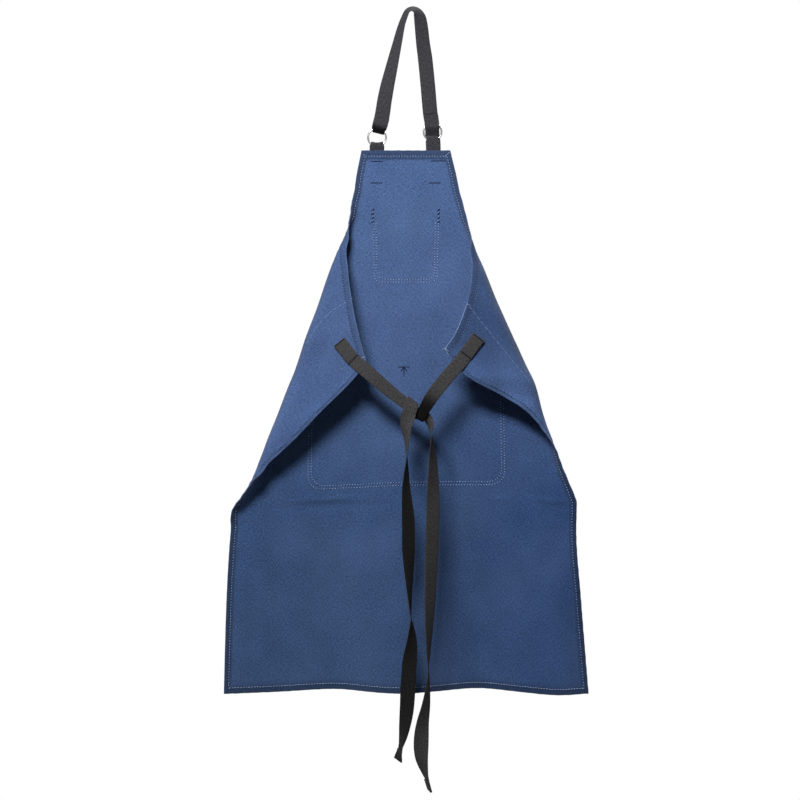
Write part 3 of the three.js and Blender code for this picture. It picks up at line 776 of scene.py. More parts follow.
def half_columns(sign, v):
    """Places across one half of the cloth at each level, from the middle to the free edge."""
    start, curl, _, _ = lengths_at(sign, v)
    edge = free_edge(sign, v)
    hem = SIDE_HEM * edge_slant(sign, v)
    hem_line = edge - hem - HEM_SHOULDER
    curl_start = np.minimum(start, hem_line - 2 * HEM_SHOULDER)
    curl_end = np.minimum(start + curl, hem_line - HEM_SHOULDER)
    middle = np.full_like(v, sign * MIDDLE_X)
    stops = [middle, curl_start, curl_end, hem_line]
    columns = [middle]
    for low, high, part in zip(stops, stops[1:], ("panel", "curl", "flap")):
        steps = CELLS[part]
        columns += [low + (high - low) * (k + 1) / steps for k in range(steps)]
    columns += [edge - hem * share for share in HEM_CELLS[::-1]]
    return sign * np.stack(columns, -1)


def cloth_marks(u, v):
    """Marks on the inside and the outside of the cloth, for its material."""
    side, ends = edge_shares(u, v)
    share = np.minimum(side, ends)
    run = np.where(ends < side, u, v)
    worn_seam = np.exp(-((share - WEAR["seam"]) / WEAR["seam_width"]) ** 2)
    wear = np.exp(-(share / WEAR["edge"]) ** 2) + WEAR["seam_share"] * worn_seam
    foot = smoothstep(*HEM_FOOT_SHADE["in"], share) * (1 - smoothstep(*HEM_FOOT_SHADE["out"], share))
    hem = 1 - smoothstep(*HEM_BAND, share)
    seam = [strength * stitch_dip(share) for strength in MARK_STRENGTH["seam"]]
    return {
        "wear": [strength * wear for strength in MARK_STRENGTH["wear"]],
        # Painted shade at each hem's foot and along its stitching
        "groove_shade": [np.maximum(foot, seam[0]), seam[1]],
        "hem": [strength * hem for strength in MARK_STRENGTH["hem"]],
        "run": [run, run],
        "outer": [np.zeros_like(u), np.ones_like(u)],
    }


def make_cloth(material):
    """The canvas: bib, skirt and side flaps in one piece, with its hems."""
    levels = cloth_levels()
    left = half_columns(-1, levels)[:, ::-1]
    u = np.concatenate([left, half_columns(1, levels)[:, 1:]], axis=1)
    v = np.repeat(levels[:, None], u.shape[1], axis=1)
    front, _ = raised(u, v, face_lift(u, v, 1))
    back, _ = raised(u, v, -face_lift(u, v, -1))
    return wall_object("apron_cloth", front, back, u, v, material, cloth_marks(u, v))


def drawn_in(pocket, u, v):
    """Places of a pocket as sewn: drawn in as it narrows, and drooping at its lower left."""
    middle = (pocket["left"] + pocket["right"]) / 2
    down = (pocket["top"] - v) / (pocket["top"] - pocket["bottom"])
    leftward = np.maximum(0, (middle - u) / (middle - pocket["left"]))
    narrowed = middle + (u - middle) * (1 - pocket["taper"] * down)
    return narrowed, v - pocket["droop"] * down * leftward


def pocket_grid(pocket):
    """Places of a patch pocket on the flat cloth, row by row from its mouth."""
    corner_top = pocket["bottom"] + pocket["corner"]
    straight = np.linspace(pocket["top"], corner_top, POCKET_CELLS["down"])
    angles = np.linspace(0, math.pi / 2, POCKET_CELLS["corner"] + 1)[1:]
    v = np.concatenate([straight, pocket["bottom"] + pocket["corner"] * (1 - np.sin(angles))])
    drop = np.maximum(0, corner_top - v)
    inset = pocket["corner"] - np.sqrt(np.maximum(0, pocket["corner"] ** 2 - drop ** 2))
    share = np.linspace(0, 1, POCKET_CELLS["across"] + 1)
    left, right = pocket["left"] + inset, pocket["right"] - inset
    u = left[:, None] + (right - left)[:, None] * share
    return drawn_in(pocket, u, np.repeat(v[:, None], u.shape[1], axis=1))


def pocket_lift(pocket, u, v):
    """Depth of a pocket's middle behind the panel's middle: it gapes a little at its mouth."""
    across = (u - pocket["left"]) / (pocket["right"] - pocket["left"])
    height = (v - pocket["bottom"]) / (pocket["top"] - pocket["bottom"])
    gape = 4 * across * (1 - across) * smoothstep(GAPE_FROM, 1.0, height)
    return CANVAS + SEWN_GAP + POCKET_GAPE * gape


def make_pocket(name, pocket, material):
    """A patch pocket on the outer face, with a hem at its mouth."""
    u, v = pocket_grid(pocket)
    depth = pocket_lift(pocket, u, v)
    below_mouth = pocket["top"] - v
    hem = 1 - smoothstep(POCKET_HEM - HEM_SHOULDER, POCKET_HEM + HEM_SHOULDER, below_mouth)
    front, _ = raised(u, v, CANVAS / 2 - depth)
    back, _ = raised(u, v, -depth - CANVAS / 2 - POCKET_HEM_SHARE * HEM_RISE * hem)
    wear = np.exp(-(below_mouth / HEM_SHOULDER) ** 2)
    # The outer mark gives the pockets the outer face's painted light and shade
    marks = {"wear": [wear, wear], "outer": [np.ones_like(u), np.ones_like(u)]}
    return wall_object(name, front, back, u, v, material, marks)


def flap_depth(sign, x, z):
    """How far forward a flap's middle lies, as a depth in the picture."""
    start, curl, turn, _ = lengths_at(sign, z)
    turn = np.maximum(turn, LEAST_TURN)
    radius = curl / turn
    fold_end = start + radius * np.sin(turn)
    return (fold_end - sign * x) * np.tan(turn) - radius * (1 - np.cos(turn))


def seated(route, sign):
    """Fills in the depth and the swing of a tie's rows that lie on a flap."""
    x, z, lean = route["x"], route["z"], np.radians(route["lean"])
    on_flap = np.isnan(route["y"])
    here = flap_depth(sign, x, z)
    beside = flap_depth(sign, x + SWING_STEP * np.cos(lean), z + SWING_STEP * np.sin(lean))
    swing = np.degrees(np.arctan((here - beside) / SWING_STEP))
    filled = dict(route)
    filled["y"] = np.where(on_flap, here - SEATED, route["y"])
    filled["swing"] = np.where(on_flap, swing, route["swing"])
    return filled


def tab_route(x, ring):
    """Up the outer face of the bib, round the ring's lower arc and down again."""
    far_face = SEATED + WEBBING + SEWN_GAP
    half = RING["wire"] + SEWN_GAP + WEBBING / 2
    turn_z = ring["z"] - RING["radius"] + TAB["rise"]
    mid_x = (x + ring["x"]) / 2
    flat_z = TAB["bib_top"] - TAB["flat"]

    def on_bib(y, z):
        return (x, y, z, 0, 0, TAB["width"])

    def narrowing(face):
        return (mid_x, RING["y"] + face * half, turn_z - TAB["drop"], 0, 0, TAB["width"])

    turn = [(ring["x"], RING["y"] + y * half, turn_z + z * half, 0, 0, TAB["ring_width"])
            for y, z in zip(*TAB_TURN.values())]
    up = [on_bib(SEATED, z) for z in (TAB["sewn_end"], flat_z, TAB["bib_top"])]
    down = [on_bib(far_face, z) for z in (TAB["bib_top"], flat_z, TAB["sewn_end"])]
    return table(ROUTE_COLUMNS, [*up, narrowing(-1), *turn, narrowing(1), *down])


def smooth_path(corners, t):
    """Points of a centripetal Catmull-Rom curve through the corners."""
    first = 2 * corners[:1] - corners[1:2]
    last = 2 * corners[-1:] - corners[-2:-1]
    knots = np.concatenate([first, corners, last])
    i = np.clip(np.floor(t).astype(int), 0, len(corners) - 2)
    w = (t - i)[:, None]
    p0, p1, p2, p3 = (knots[i + k] for k in range(4))
    legs = ((p0, p1), (p1, p2), (p2, p3))
    gap = [np.sqrt(np.linalg.norm(b - a, axis=1, keepdims=True)) for a, b in legs]
    t1 = ((p1 - p0) / gap[0] - (p2 - p0) / (gap[0] + gap[1]) + (p2 - p1) / gap[1]) * gap[1]
    t2 = ((p2 - p1) / gap[1] - (p3 - p1) / (gap[1] + gap[2]) + (p3 - p2) / gap[2]) * gap[1]
    c2 = -3 * p1 + 3 * p2 - 2 * t1 - t2
    c3 = 2 * p1 - 2 * p2 + t1 + t2
    return p1 + t1 * w + c2 * w ** 2 + c3 * w ** 3


def band_frames(route):
    """Stations along a webbing: places, width directions, normals, widths and lengths so far."""
    corners = np.stack([route["x"], route["y"], route["z"]], -1)
    rows = np.arange(len(corners))
    spans = np.linalg.norm(np.diff(corners, axis=0), axis=1)
    counts = np.maximum(2, np.ceil(spans / WEBBING_STEP).astype(int))
    t = np.concatenate([i + np.arange(n) / n for i, n in enumerate(counts)] + [rows[-1:]])
    places = smooth_path(corners, t)
    tangents = unit(np.gradient(places, axis=0))
    swing, lean = (np.radians(np.interp(t, rows, route[name])) for name in ("swing", "lean"))
    forward = np.cos(swing)
    across = np.stack([np.cos(lean) * forward, -np.sin(swing), np.sin(lean) * forward], -1)
    across = unit(across - tangents * np.sum(across * tangents, axis=1, keepdims=True))
    return {"place": places, "across": across, "normal": np.cross(tangents, across),
            "width": np.interp(t, rows, route["width"]), "length": lengths_along(places)}


def band_part(frames, begin, end):
    """The stations of a webbing between two lengths along it."""
    kept = (frames["length"] >= begin) & (frames["length"] <= end)
    return {name: column[kept] for name, column in frames.items()}


def band_mesh(frames, lift=0.0, shrink=1.0):
    """Points, faces and flat places of a webbing band, set off along its normal by lift."""
    across = np.concatenate([BAND_SECTION["across"], -BAND_SECTION["across"]])
    thick = np.concatenate([BAND_SECTION["thick"], -BAND_SECTION["thick"]])
    half_width = shrink * frames["width"][:, None, None] / 2
    offsets = frames["across"][:, None] * across[None, :, None] * half_width
    offsets = offsets + frames["normal"][:, None] * (lift + thick * WEBBING / 2)[None, :, None]
    points = frames["place"][:, None] + offsets
    stations, sides = points.shape[:2]
    flat_u = across[None, :] * half_width[:, :, 0]
    flat_v = np.repeat(frames["length"][:, None], sides, axis=1)
    side = np.repeat(np.sign(thick)[None, :], stations, axis=0)
    flat = np.stack([flat_u, flat_v, side], -1)
    return points.reshape(-1, 3), tube_faces(stations, sides), flat.reshape(-1, 3)


def join_meshes(meshes):
    """Several lists of points, faces and flat places as one."""
    points, faces, flat = [], [], []
    first = 0
    for part_points, part_faces, part_flat in meshes:
        points.append(part_points)
        flat.append(part_flat)
        faces += [tuple(i + first for i in face) for face in part_faces]
        first += len(part_points)
    return np.concatenate(points), faces, np.concatenate(flat)


def add_webbing(name, points, faces, flat, material, right_side, dark=(), reach=1.0):
    """A webbing piece, with painted shade on its other face and in its folds.

    right_side is 1 or -1 times how much painted shade the other face gets, and 0 where both sides are alike.
    """
    webbing_shade = np.clip(-right_side * flat[:, 2], 0, 1)
    for at in dark:
        webbing_shade = np.maximum(webbing_shade, FOLD_SHADE * np.exp(-((flat[:, 1] - at) / reach) ** 2))
    flat[:, 2] = 0
    return add_object(name, points, faces, flat, material, marks={"webbing_shade": webbing_shade})


def make_webbing(name, frames, material, right_side, hems=(), dark=(), reach=1.0):
    """A webbing strap. Each hem is a second layer: where it begins and ends, and on which face."""
    meshes = [band_mesh(frames)]
    for begin, end, face in hems:
        layer = band_part(frames, begin, end)
        meshes.append(band_mesh(layer, lift=face * (WEBBING + LAYER["gap"]), shrink=LAYER["width"]))
    return add_webbing(name, *join_meshes(meshes), material, right_side, dark, reach)


def make_tab(name, frames, ring, sag, material):
    """A ring tab whose turn sinks into the round of the wire."""
    points, faces, flat = band_mesh(frames)
    share = (points[:, 0] - ring["x"]) / (TAB["ring_width"] / 2)
    top = points[:, 2].max()
    near = smoothstep(top - TAB_SAG["height"], top - sag, points[:, 2])
    points[:, 2] -= sag * np.maximum(0, 1 - np.abs(share)) * near
    return add_webbing(name, points, faces, flat, material, right_side=0)


def make_ring(name, ring, material):
    """An O-ring of round wire that stands in the picture's plane."""
    turns = [np.linspace(0, 2 * math.pi, RING_CELLS[way], endpoint=False) for way in ("around", "section")]
    around, section = np.meshgrid(*turns, indexing="ij")
    reach = RING["radius"] + RING["wire"] * np.cos(section)
    points = np.stack([ring["x"] + reach * np.cos(around), RING["y"] + RING["wire"] * np.sin(section),
                       ring["z"] + reach * np.sin(around)], -1)
    flat = np.stack([around * RING["radius"], section * RING["wire"], np.zeros_like(around)], -1)
    faces = tube_faces(RING_CELLS["around"], RING_CELLS["section"], closed=True)
    return add_object(name, points, faces, flat, material)


def stitch_mesh(middles, along, normals, size):
    """One short sunk-ended thread for each middle, pointing along."""
    side = unit(np.cross(normals, along))
    angles = np.linspace(0, 2 * math.pi, STITCH_SIDES, endpoint=False)
    rings = len(STITCH_RINGS["along"])
    thread = np.repeat(STITCH_RINGS["size"][:, None] * size["radius"], STITCH_SIDES, axis=1)
    far = np.repeat(STITCH_RINGS["along"][:, None] * size["length"], STITCH_SIDES, axis=1)
    wide = thread * np.cos(angles)
    out = thread * np.sin(angles) + STITCH_RINGS["rise"][:, None] * size["radius"]
    points = middles[:, None, None]
    for way, reach in ((along, far), (side, wide), (normals, out)):
        points = points + way[:, None, None] * reach[..., None]
    one = [face[::-1] for face in tube_faces(rings, STITCH_SIDES)]
    count = rings * STITCH_SIDES
    faces = [tuple(i * count + k for k in face) for i in range(len(middles)) for face in one]
    flat = np.tile(np.stack([far, wide, np.zeros_like(far)], -1), (len(middles), 1, 1, 1))
    return points.reshape(-1, 3), faces, flat.reshape(-1, 3)


def spaced(points, normals, pitch, begin=0.5):
    """Middles, directions and normals at an even pitch along a line, the first at begin pitches."""
    lengths = lengths_along(points)
    at = np.arange(begin * pitch, lengths[-1], pitch)

    def sample(vectors):
        return np.stack([np.interp(at, lengths, column) for column in vectors.T], -1)

    return sample(points), unit(sample(np.gradient(points, axis=0))), unit(sample(normals))


def stitch_rows(lines, size, begin=0.5):
    """Rows of stitches along lines of points with normals."""
    return [stitch_mesh(*spaced(*line, size["pitch"], begin), size) for line in lines]


def tack_threads(points, normals, size):
    """Crosswise threads along a line of points."""
    middles, along, upward = spaced(points, normals, size["pitch"])
    return stitch_mesh(middles, unit(np.cross(upward, along)), upward, size)


def make_threads(name, meshes, material):
    """Any number of threads as one piece."""
    return add_object(name, *join_meshes(meshes), material, sharp=SHARP["thread"])


def cloth_line(u, v, face):
    """A line on the inside (face 1) or the outside (face -1) of the cloth, with its normals."""
    points, inside = raised(u, v, face * face_lift(u, v, face))
    return points, face * inside


def pocket_face_line(pocket, u, v):
    """A line on the outer face of a pocket, with its normals."""
    points, inside = raised(u, v, -pocket_lift(pocket, u, v) - CANVAS / 2)
    return points, -inside


def through_line(pocket, u, v):
    """A line that shows both on the inside of the cloth and on the outer face of a pocket."""
    return [cloth_line(u, v, 1), pocket_face_line(pocket, u, v)]


def hem_lines(face):
    """The stitch lines of the hems on one face: both sides, the top and the bottom."""
    end_inset = HEM_STITCH * END_HEM
    v = np.linspace(BIB_TOP - end_inset, HEM_Z + end_inset, POINTS["hem_side"])
    lines = []
    for sign in (-1, 1):
        inset = HEM_STITCH * SIDE_HEM * edge_slant(sign, v)
        lines.append((sign * (free_edge(sign, v) - inset), v))
    for level in (v[:1], v[-1:]):
        ends = [sign * (free_edge(sign, level)[0] - HEM_STITCH * SIDE_HEM) for sign in (-1, 1)]
        u = np.linspace(*ends, POINTS["hem_end"])
        lines.append((u, np.full_like(u, level[0])))
    return [cloth_line(*line, face) for line in lines]


def pocket_line(pocket, inset):
    """A stitch line down one side of a pocket, round its corners and up the other."""
    left, right = pocket["left"] + inset, pocket["right"] - inset
    bottom, corner = pocket["bottom"] + inset, pocket["corner"]
    turn = np.linspace(0, math.pi / 2, POINTS["corner"])
    near, far = corner * (1 - np.cos(turn)), corner * (1 - np.sin(turn))
    down = np.linspace(pocket["top"] - ZIGZAG["length"], bottom + corner, POINTS["pocket_side"])
    along = np.linspace(left + corner, right - corner, POINTS["row"])
    sides = [np.full_like(down, end) for end in (left, right)]
    u = np.concatenate([sides[0], left + near, along, right - far, sides[1]])
    v = np.concatenate([down, bottom + far, np.full_like(along, bottom), bottom + near, down[::-1]])
    return drawn_in(pocket, u, v)


def pocket_lines():
    """Two rows round each pocket on both faces, and one under each mouth."""
    lines = []
    for pocket in (CHEST_POCKET, FRONT_POCKET):
        for inset in POCKET_ROWS:
            lines += through_line(pocket, *pocket_line(pocket, inset))
        u = np.linspace(pocket["left"], pocket["right"], POINTS["mouth"])
        lines.append(pocket_face_line(pocket, u, np.full_like(u, pocket["top"] - POCKET_HEM)))
    return lines


def divider_lines():
    """Two rows down the front pocket's divider, on both faces."""
    v = np.linspace(DIVIDER["top"], DIVIDER["bottom"], POINTS["row"])
    lines = []
    for row in DIVIDER["u"]:
        lines += through_line(FRONT_POCKET, np.full_like(v, row), v)
    return lines


def crease_lines():
    """The worn creases of the flaps, on their outer face."""
    lines = []
    for crease in FLAP_CREASES.values():
        path = smooth_path(np.array(crease), np.linspace(0, len(crease) - 1, POINTS["row"]))
        lines.append(cloth_line(*path.T, -1))
    return lines


def flap_edge_line(top, bottom):
    """The worn edge of the right flap between two levels, on its outer face."""
    v = np.linspace(FLAP_EDGE[top], FLAP_EDGE[bottom], POINTS["flap_edge"])
    u = free_edge(1, v) - FLAP_EDGE["inset"] * edge_slant(1, v)
    return cloth_line(u, v, -1)


def cross_tacks(rows, size):
    """Tacks on the cloth, one for each row of a table."""
    meshes = []
    for u, v, run, length, face in zip(*rows.values()):
        reach = np.linspace(-length / 2, length / 2, POINTS["tack"])
        angle = math.radians(run)
        line = cloth_line(u + reach * math.cos(angle), v + reach * math.sin(angle), face)
        meshes.append(tack_threads(*line, size))
    return meshes


def zigzag_meshes(legs):
    """Every second leg of the zigzag tacks at the ends of the pockets' mouths, on both faces."""
    down = np.linspace(0, ZIGZAG["length"], POINTS["zigzag"])
    swing = np.arcsin(np.cos(down * math.pi / ZIGZAG["rise"])) * ZIGZAG["width"] / math.pi
    lines = []
    for pocket in (CHEST_POCKET, FRONT_POCKET):
        for end in (pocket["left"] + ZIGZAG["inset"], pocket["right"] - ZIGZAG["inset"]):
            lines += through_line(pocket, end + swing, pocket["top"] - down)
    leg = math.hypot(ZIGZAG["width"], ZIGZAG["rise"])
    size = {"length": leg * legs["share"], "pitch": 2 * leg, "radius": legs["radius"]}
    return stitch_rows(lines, size, legs["begin"])


def station(frames, at):
    """The number of the station nearest to a length along a webbing."""
    return int(np.argmin(np.abs(frames["length"] - at)))


def front_face(frames, at):
    """The face of a webbing that is turned to the viewer at a length along it, 1 or -1."""
    return -1 if frames["normal"][station(frames, at)][1] > 0 else 1


def band_tack(frames, at, face, lift=0.0, size=BAND_TACK):
    """A tack across a webbing, at a length along it and on one of its faces."""
    i = station(frames, at)
    half = TACK_SPAN * frames["width"][i] / 2
    reach = np.linspace(-half, half, POINTS["tack"])[:, None]
    normal = face * frames["normal"][i]
    points = frames["place"][i] + frames["across"][i] * reach + normal * (lift + WEBBING / 2)
    return tack_threads(points, np.tile(normal, (len(points), 1)), size)


def new_material(name, finish):
    """A material with the settings of a finish, its node tree and its shader."""
    material = bpy.data.materials.new(name)
    material.use_nodes = True
    shader = material.node_tree.nodes["Principled BSDF"]
    for socket, value in FINISHES[finish].items():
        shader.inputs[socket].default_value = value
    return material, material.node_tree, shader


def set_input(tree, socket, value):
    """Links a socket to another node's output, or gives it a plain value."""
    if isinstance(value, bpy.types.NodeSocket):
        tree.links.new(value, socket)
    else:
        socket.default_value = value


def add_node(tree, kind, inputs, **settings):
    """A node with its settings, and its inputs set or linked by name or number."""
    made = tree.nodes.new(kind)
    for name, value in settings.items():
        setattr(made, name, value)
    for key, value in inputs.items():
        set_input(tree, made.inputs[key], value)
    return made


def calc(tree, operation, value, *others):
    """A value put through an operation, by itself or with each of the others in turn."""
    for other in others or (0.0,):
        value = add_node(tree, "ShaderNodeMath", {0: value, 1: other}, operation=operation).outputs[0]
    return value


def mix_colour(tree, share, a, b, blend="MIX"):
    """Two colours mixed, each a node's output or a plain red, green and blue."""
    made = add_node(tree, "ShaderNodeMix", {"Factor": share}, data_type="RGBA", blend_type=blend)
    for name, colour in (("a", a), ("b", b)):
        plain = not isinstance(colour, bpy.types.NodeSocket)
        set_input(tree, made.inputs[MIX_SOCKETS[name]], (*colour, 1) if plain else colour)
    return made.outputs[MIX_SOCKETS["result"]]


def mark(tree, name):
    """One of the marks on a mesh."""
    return add_node(tree, "ShaderNodeAttribute", {}, attribute_name=name).outputs["Fac"]


def flat_axes(tree):
    """The place on the flat cloth, and its two axes in metres."""
    flat = add_node(tree, "ShaderNodeAttribute", {}, attribute_name="flat").outputs["Vector"]
    axes = add_node(tree, "ShaderNodeSeparateXYZ", {0: flat}).outputs
    return flat, axes["X"], axes["Y"]


def object_place(tree):
    """The place in the piece's own space."""
    return add_node(tree, "ShaderNodeTexCoord", {}).outputs["Object"]


def spread(tree, value, name):
    """A value taken from one range to another."""
    ends = dict(zip(("From Min", "From Max", "To Min", "To Max"), SPREADS[name]))
    return add_node(tree, "ShaderNodeMapRange", {"Value": value, **ends}).outputs[0]


def noise(tree, place, name):
    """One of the noises at a place."""
    *scale, detail = NOISES[name]
    scaled = add_node(tree, "ShaderNodeVectorMath", {0: place, 1: scale}, operation="MULTIPLY").outputs[0]
    inputs = {"Vector": scaled, "Scale": 1.0, "Detail": detail}
    return add_node(tree, "ShaderNodeTexNoise", inputs).outputs["Fac"]


def spread_noise(tree, place, name):
    """A noise in the range that bears its name."""
    return spread(tree, noise(tree, place, name), name)


def wave(tree, value, length):
    """A sine of a length in metres."""
    return calc(tree, "SINE", calc(tree, "MULTIPLY", value, 2 * math.pi / length))


def shaded(colour, share):
    """A colour made darker or paler."""
    return [share * part for part in colour]


def toned(colour, name):
    """The darkest and the palest tone of a colour."""
    return [shaded(colour, share) for share in TONES[name]]


def paint(tree, shader, colour, shade):
    """Gives a shader a colour times a shade of grey."""
    grey = add_node(tree, "ShaderNodeCombineColor", {"Red": shade, "Green": shade, "Blue": shade})
    painted = mix_colour(tree, 1.0, colour, grey.outputs[0], "MULTIPLY")
    tree.links.new(painted, shader.inputs["Base Color"])


def add_bump(tree, shader, height, finish):
    """Raises a shader's surface by a height."""
    strength, distance = BUMPS[finish]
    bump = add_node(tree, "ShaderNodeBump", {"Height": height, "Strength": strength, "Distance": distance})
    tree.links.new(bump.outputs[0], shader.inputs["Normal"])


def plain_weave(tree, across, along):
    """Height of a plain weave: threads that pass over and under each other by turns."""
    warp, weft = (wave(tree, axis, 2 * WEAVE_PITCH) for axis in (across, along))
    turn = calc(tree, "MULTIPLY", warp, weft, CROSSING)
    over = calc(tree, "ADD", calc(tree, "ABSOLUTE", warp), turn)
    under = calc(tree, "SUBTRACT", calc(tree, "ABSOLUTE", weft), turn)
    return calc(tree, "MAXIMUM", over, under)


def light_and_shade_tint(tree, across, along):
    """Tints of painted light and shade from place to place, on the inside and on the outer face."""
    low = mix_colour(tree, spread(tree, across, "skirt_across"), LOW_LEFT_SHADE, LOW_RIGHT_SHADE)
    inside = mix_colour(tree, spread(tree, along, "skirt_down"), WHITE, low)
    right = spread(tree, across, "outer_across")
    above, below = (mix_colour(tree, right, *pair) for pair in (OUTER_TOP_SHADE_TINTS, OUTER_LOW_LIGHT_TINTS))
    outside = mix_colour(tree, spread(tree, along, "outer_down"), above, below)
    return mix_colour(tree, mark(tree, "outer"), inside, outside)


def canvas_material():
    """Blue cotton canvas: plain weave, slubs, soft fading, worn edges and ribbed hems, with painted light
    and shade in its tints, grooves and hems.
    """
    material, tree, shader = new_material("canvas", "canvas")
    flat, across, along = flat_axes(tree)
    weave = plain_weave(tree, across, along)
    threads = [noise(tree, flat, name) for name in GRAIN_NOISES]
    grain = calc(tree, "DIVIDE", calc(tree, "ADD", *threads), len(threads))
    tone = mix_colour(tree, spread(tree, grain, "grain"), *toned(CANVAS_BLUE, "canvas"))
    # Painted light and shade: darker low on the skirt, and darker above and lighter below on the flaps'
    # outer face
    shade_tinted = mix_colour(tree, 1.0, tone, light_and_shade_tint(tree, across, along), "MULTIPLY")
    faded = mix_colour(tree, spread_noise(tree, flat, "fading"), shade_tinted, CANVAS_WORN)
    frayed = calc(tree, "MULTIPLY", mark(tree, "wear"), spread_noise(tree, flat, "frayed"))
    edged = mix_colour(tree, frayed, faded, CANVAS_WORN)
    # Painted shade in the grooves at the hems' feet and along the stitching
    groove_shade = calc(tree, "MULTIPLY", mark(tree, "groove_shade"), GROOVE_SHADE["share"])
    worn_and_shaded = mix_colour(tree, groove_shade, edged, shaded(CANVAS_BLUE, GROOVE_SHADE["tone"]))
    hem = mark(tree, "hem")
    ribs = calc(tree, "MULTIPLY", hem, wave(tree, mark(tree, "run"), HEM_RIB))
    # Shades of grey: random patches, the weave, the hems' ribs, and painted shade over the whole hem band
    shades = [spread_noise(tree, flat, "patches")]
    shades += [spread(tree, value, name) for value, name in ((weave, "weave"), (ribs, "ribs"), (hem, "hem"))]
    paint(tree, shader, worn_and_shaded, calc(tree, "MULTIPLY", *shades))
    add_bump(tree, shader, calc(tree, "ADD", weave, grain, ribs), "canvas")
    return material


def webbing_material(name, colour):
    """Ribbed cotton webbing: herringbone of short ribs and a little fluff, with painted shade."""
    material, tree, shader = new_material(name, "webbing")
    flat, across, along = flat_axes(tree)
    slant = calc(tree, "ADD", along, calc(tree, "PINGPONG", across, HERRINGBONE))
    waves = [wave(tree, axis, 2 * WEBBING_PITCH) for axis in (slant, across)]
    ribs, ends = (calc(tree, "ABSOLUTE", height) for height in waves)
    height = calc(tree, "ADD", ribs, calc(tree, "MULTIPLY", ends, WEBBING_ENDS))
    tone = mix_colour(tree, spread_noise(tree, flat, "fluff"), *toned(colour, "webbing"))
    # Painted shade on the ties' other face and in the webbing's folds
    painted_shade = calc(tree, "POWER", WEBBING_SHADE_TONE, mark(tree, "webbing_shade"))
    paint(tree, shader, tone, calc(tree, "MULTIPLY", spread(tree, height, "webbing"), painted_shade))
    add_bump(tree, shader, height, "webbing")
    return material


def thread_material(name, colour):
    """Sewing thread: two plies twisted round each other."""
    material, tree, shader = new_material(name, "thread")
    _, along, across = flat_axes(tree)
    twist = wave(tree, calc(tree, "ADD", along, across), TWIST_PITCH)
    rubbed = spread_noise(tree, object_place(tree), "rubbed")
    plies = calc(tree, "MULTIPLY", rubbed, spread(tree, twist, "twist"))
    tree.links.new(mix_colour(tree, plies, *toned(colour, "thread")), shader.inputs["Base Color"])
    add_bump(tree, shader, twist, "thread")
    return material


def nickel_material():
    """Bright nickel plate with fine scratches and a few dull spots."""
    material, tree, shader = new_material("nickel", "nickel")
    flat, _, _ = flat_axes(tree)
    spots = noise(tree, flat, "spots")
    tree.links.new(spread(tree, spots, "roughness"), shader.inputs["Roughness"])
    tone = mix_colour(tree, spread(tree, spots, "dull"), NICKEL, shaded(NICKEL, DULL_NICKEL))
    tree.links.new(tone, shader.inputs["Base Color"])
    add_bump(tree, shader, noise(tree, flat, "scratches"), "nickel")
    return material


def floor_material():
    """Pale matt floor with a faint mottle."""
    material, tree, shader = new_material("floor", "floor")
    tone = mix_colour(tree, noise(tree, object_place(tree), "mottle"), *toned(FLOOR_GREY, "floor"))
    tree.links.new(tone, shader.inputs["Base Color"])
    return material


def add_camera():
    """A camera that looks level along +Y."""
    camera = bpy.data.cameras.new("camera")
    camera.sensor_width = SENSOR_MM
    camera.lens = SENSOR_MM * -CAMERA_AT[1] / VIEW_WIDTH
    made = put_in_scene("camera", camera)
    made.location = CAMERA_AT
    made.rotation_euler = (math.pi / 2, 0, 0)
    bpy.context.scene.camera = made


def add_lamp(name, at, aim, size, power):
    """An oblong lamp turned to its aim."""
    lamp = bpy.data.lights.new(name, "AREA")
    lamp.shape = "RECTANGLE"
    lamp.size, lamp.size_y = size
    lamp.energy = power
    made = put_in_scene(name, lamp)
    made.location = at
    x, y, z = np.subtract(aim, at)
    made.rotation_euler = (math.atan2(math.hypot(x, y), -z), 0, math.atan2(-x, y))


def add_world():
    """White all round to the eye, dimmer in mirrors, and dimmest as a light."""
    world = bpy.data.worlds.new("studio")
    bpy.context.scene.world = world
    world.use_nodes = True
    tree = world.node_tree
    rays = add_node(tree, "ShaderNodeLightPath", {}).outputs
    light = spread(tree, rays["Is Glossy Ray"], "light")
    background = tree.nodes["Background"]
    background.inputs["Color"].default_value = (*WHITE, 1)
    tree.links.new(calc(tree, "MAXIMUM", light, rays["Is Camera Ray"]), background.inputs["Strength"])


def add_floor():
    """A round floor below the apron."""
    angles = np.linspace(0, 2 * math.pi, FLOOR["corners"], endpoint=False)
    ring = np.stack([FLOOR["radius"] * np.cos(angles), FLOOR["radius"] * np.sin(angles),
                     np.full_like(angles, FLOOR["z"])], -1)
    made = add_object("floor", ring, [tuple(range(len(ring)))], ring, floor_material())


def dress(piece, node=None):
    """Makes a piece ride with the apron, in place of a solid when one is named."""
    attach(piece, "root")
    if node:
        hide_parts(node)
    return piece


def build_ties():
    """Both waist ties. Their tacks are handed back, to be made with the others."""
    webbing = webbing_material("tie_webbing", TIE_GREY)
    tacks = []
    for side, sign, route in (("left", -1, LEFT_TIE), ("right", 1, RIGHT_TIE)):
        frames = band_frames(seated(route, sign))
        total = frames["length"][-1]
        face = front_face(frames, 0)
        hems = [(0, TIE_SEWN, face), (total - TIE_HEM, total, -face)]
        tie = make_webbing(f"tie_{side}", frames, webbing, face * TIE_FACE_SHADE[side], hems,
                           TIE_FOLD_SHADE[side], TIE_FOLD_SHADE["reach"])
        dress(tie, f"waist_tie_{side}")
        tacks += [band_tack(frames, at, face, WEBBING, size) for at, size in TIE_TACKS]
        tacks.append(band_tack(frames, total - TIE_HEM + HEM_TACK, face))
    return tacks


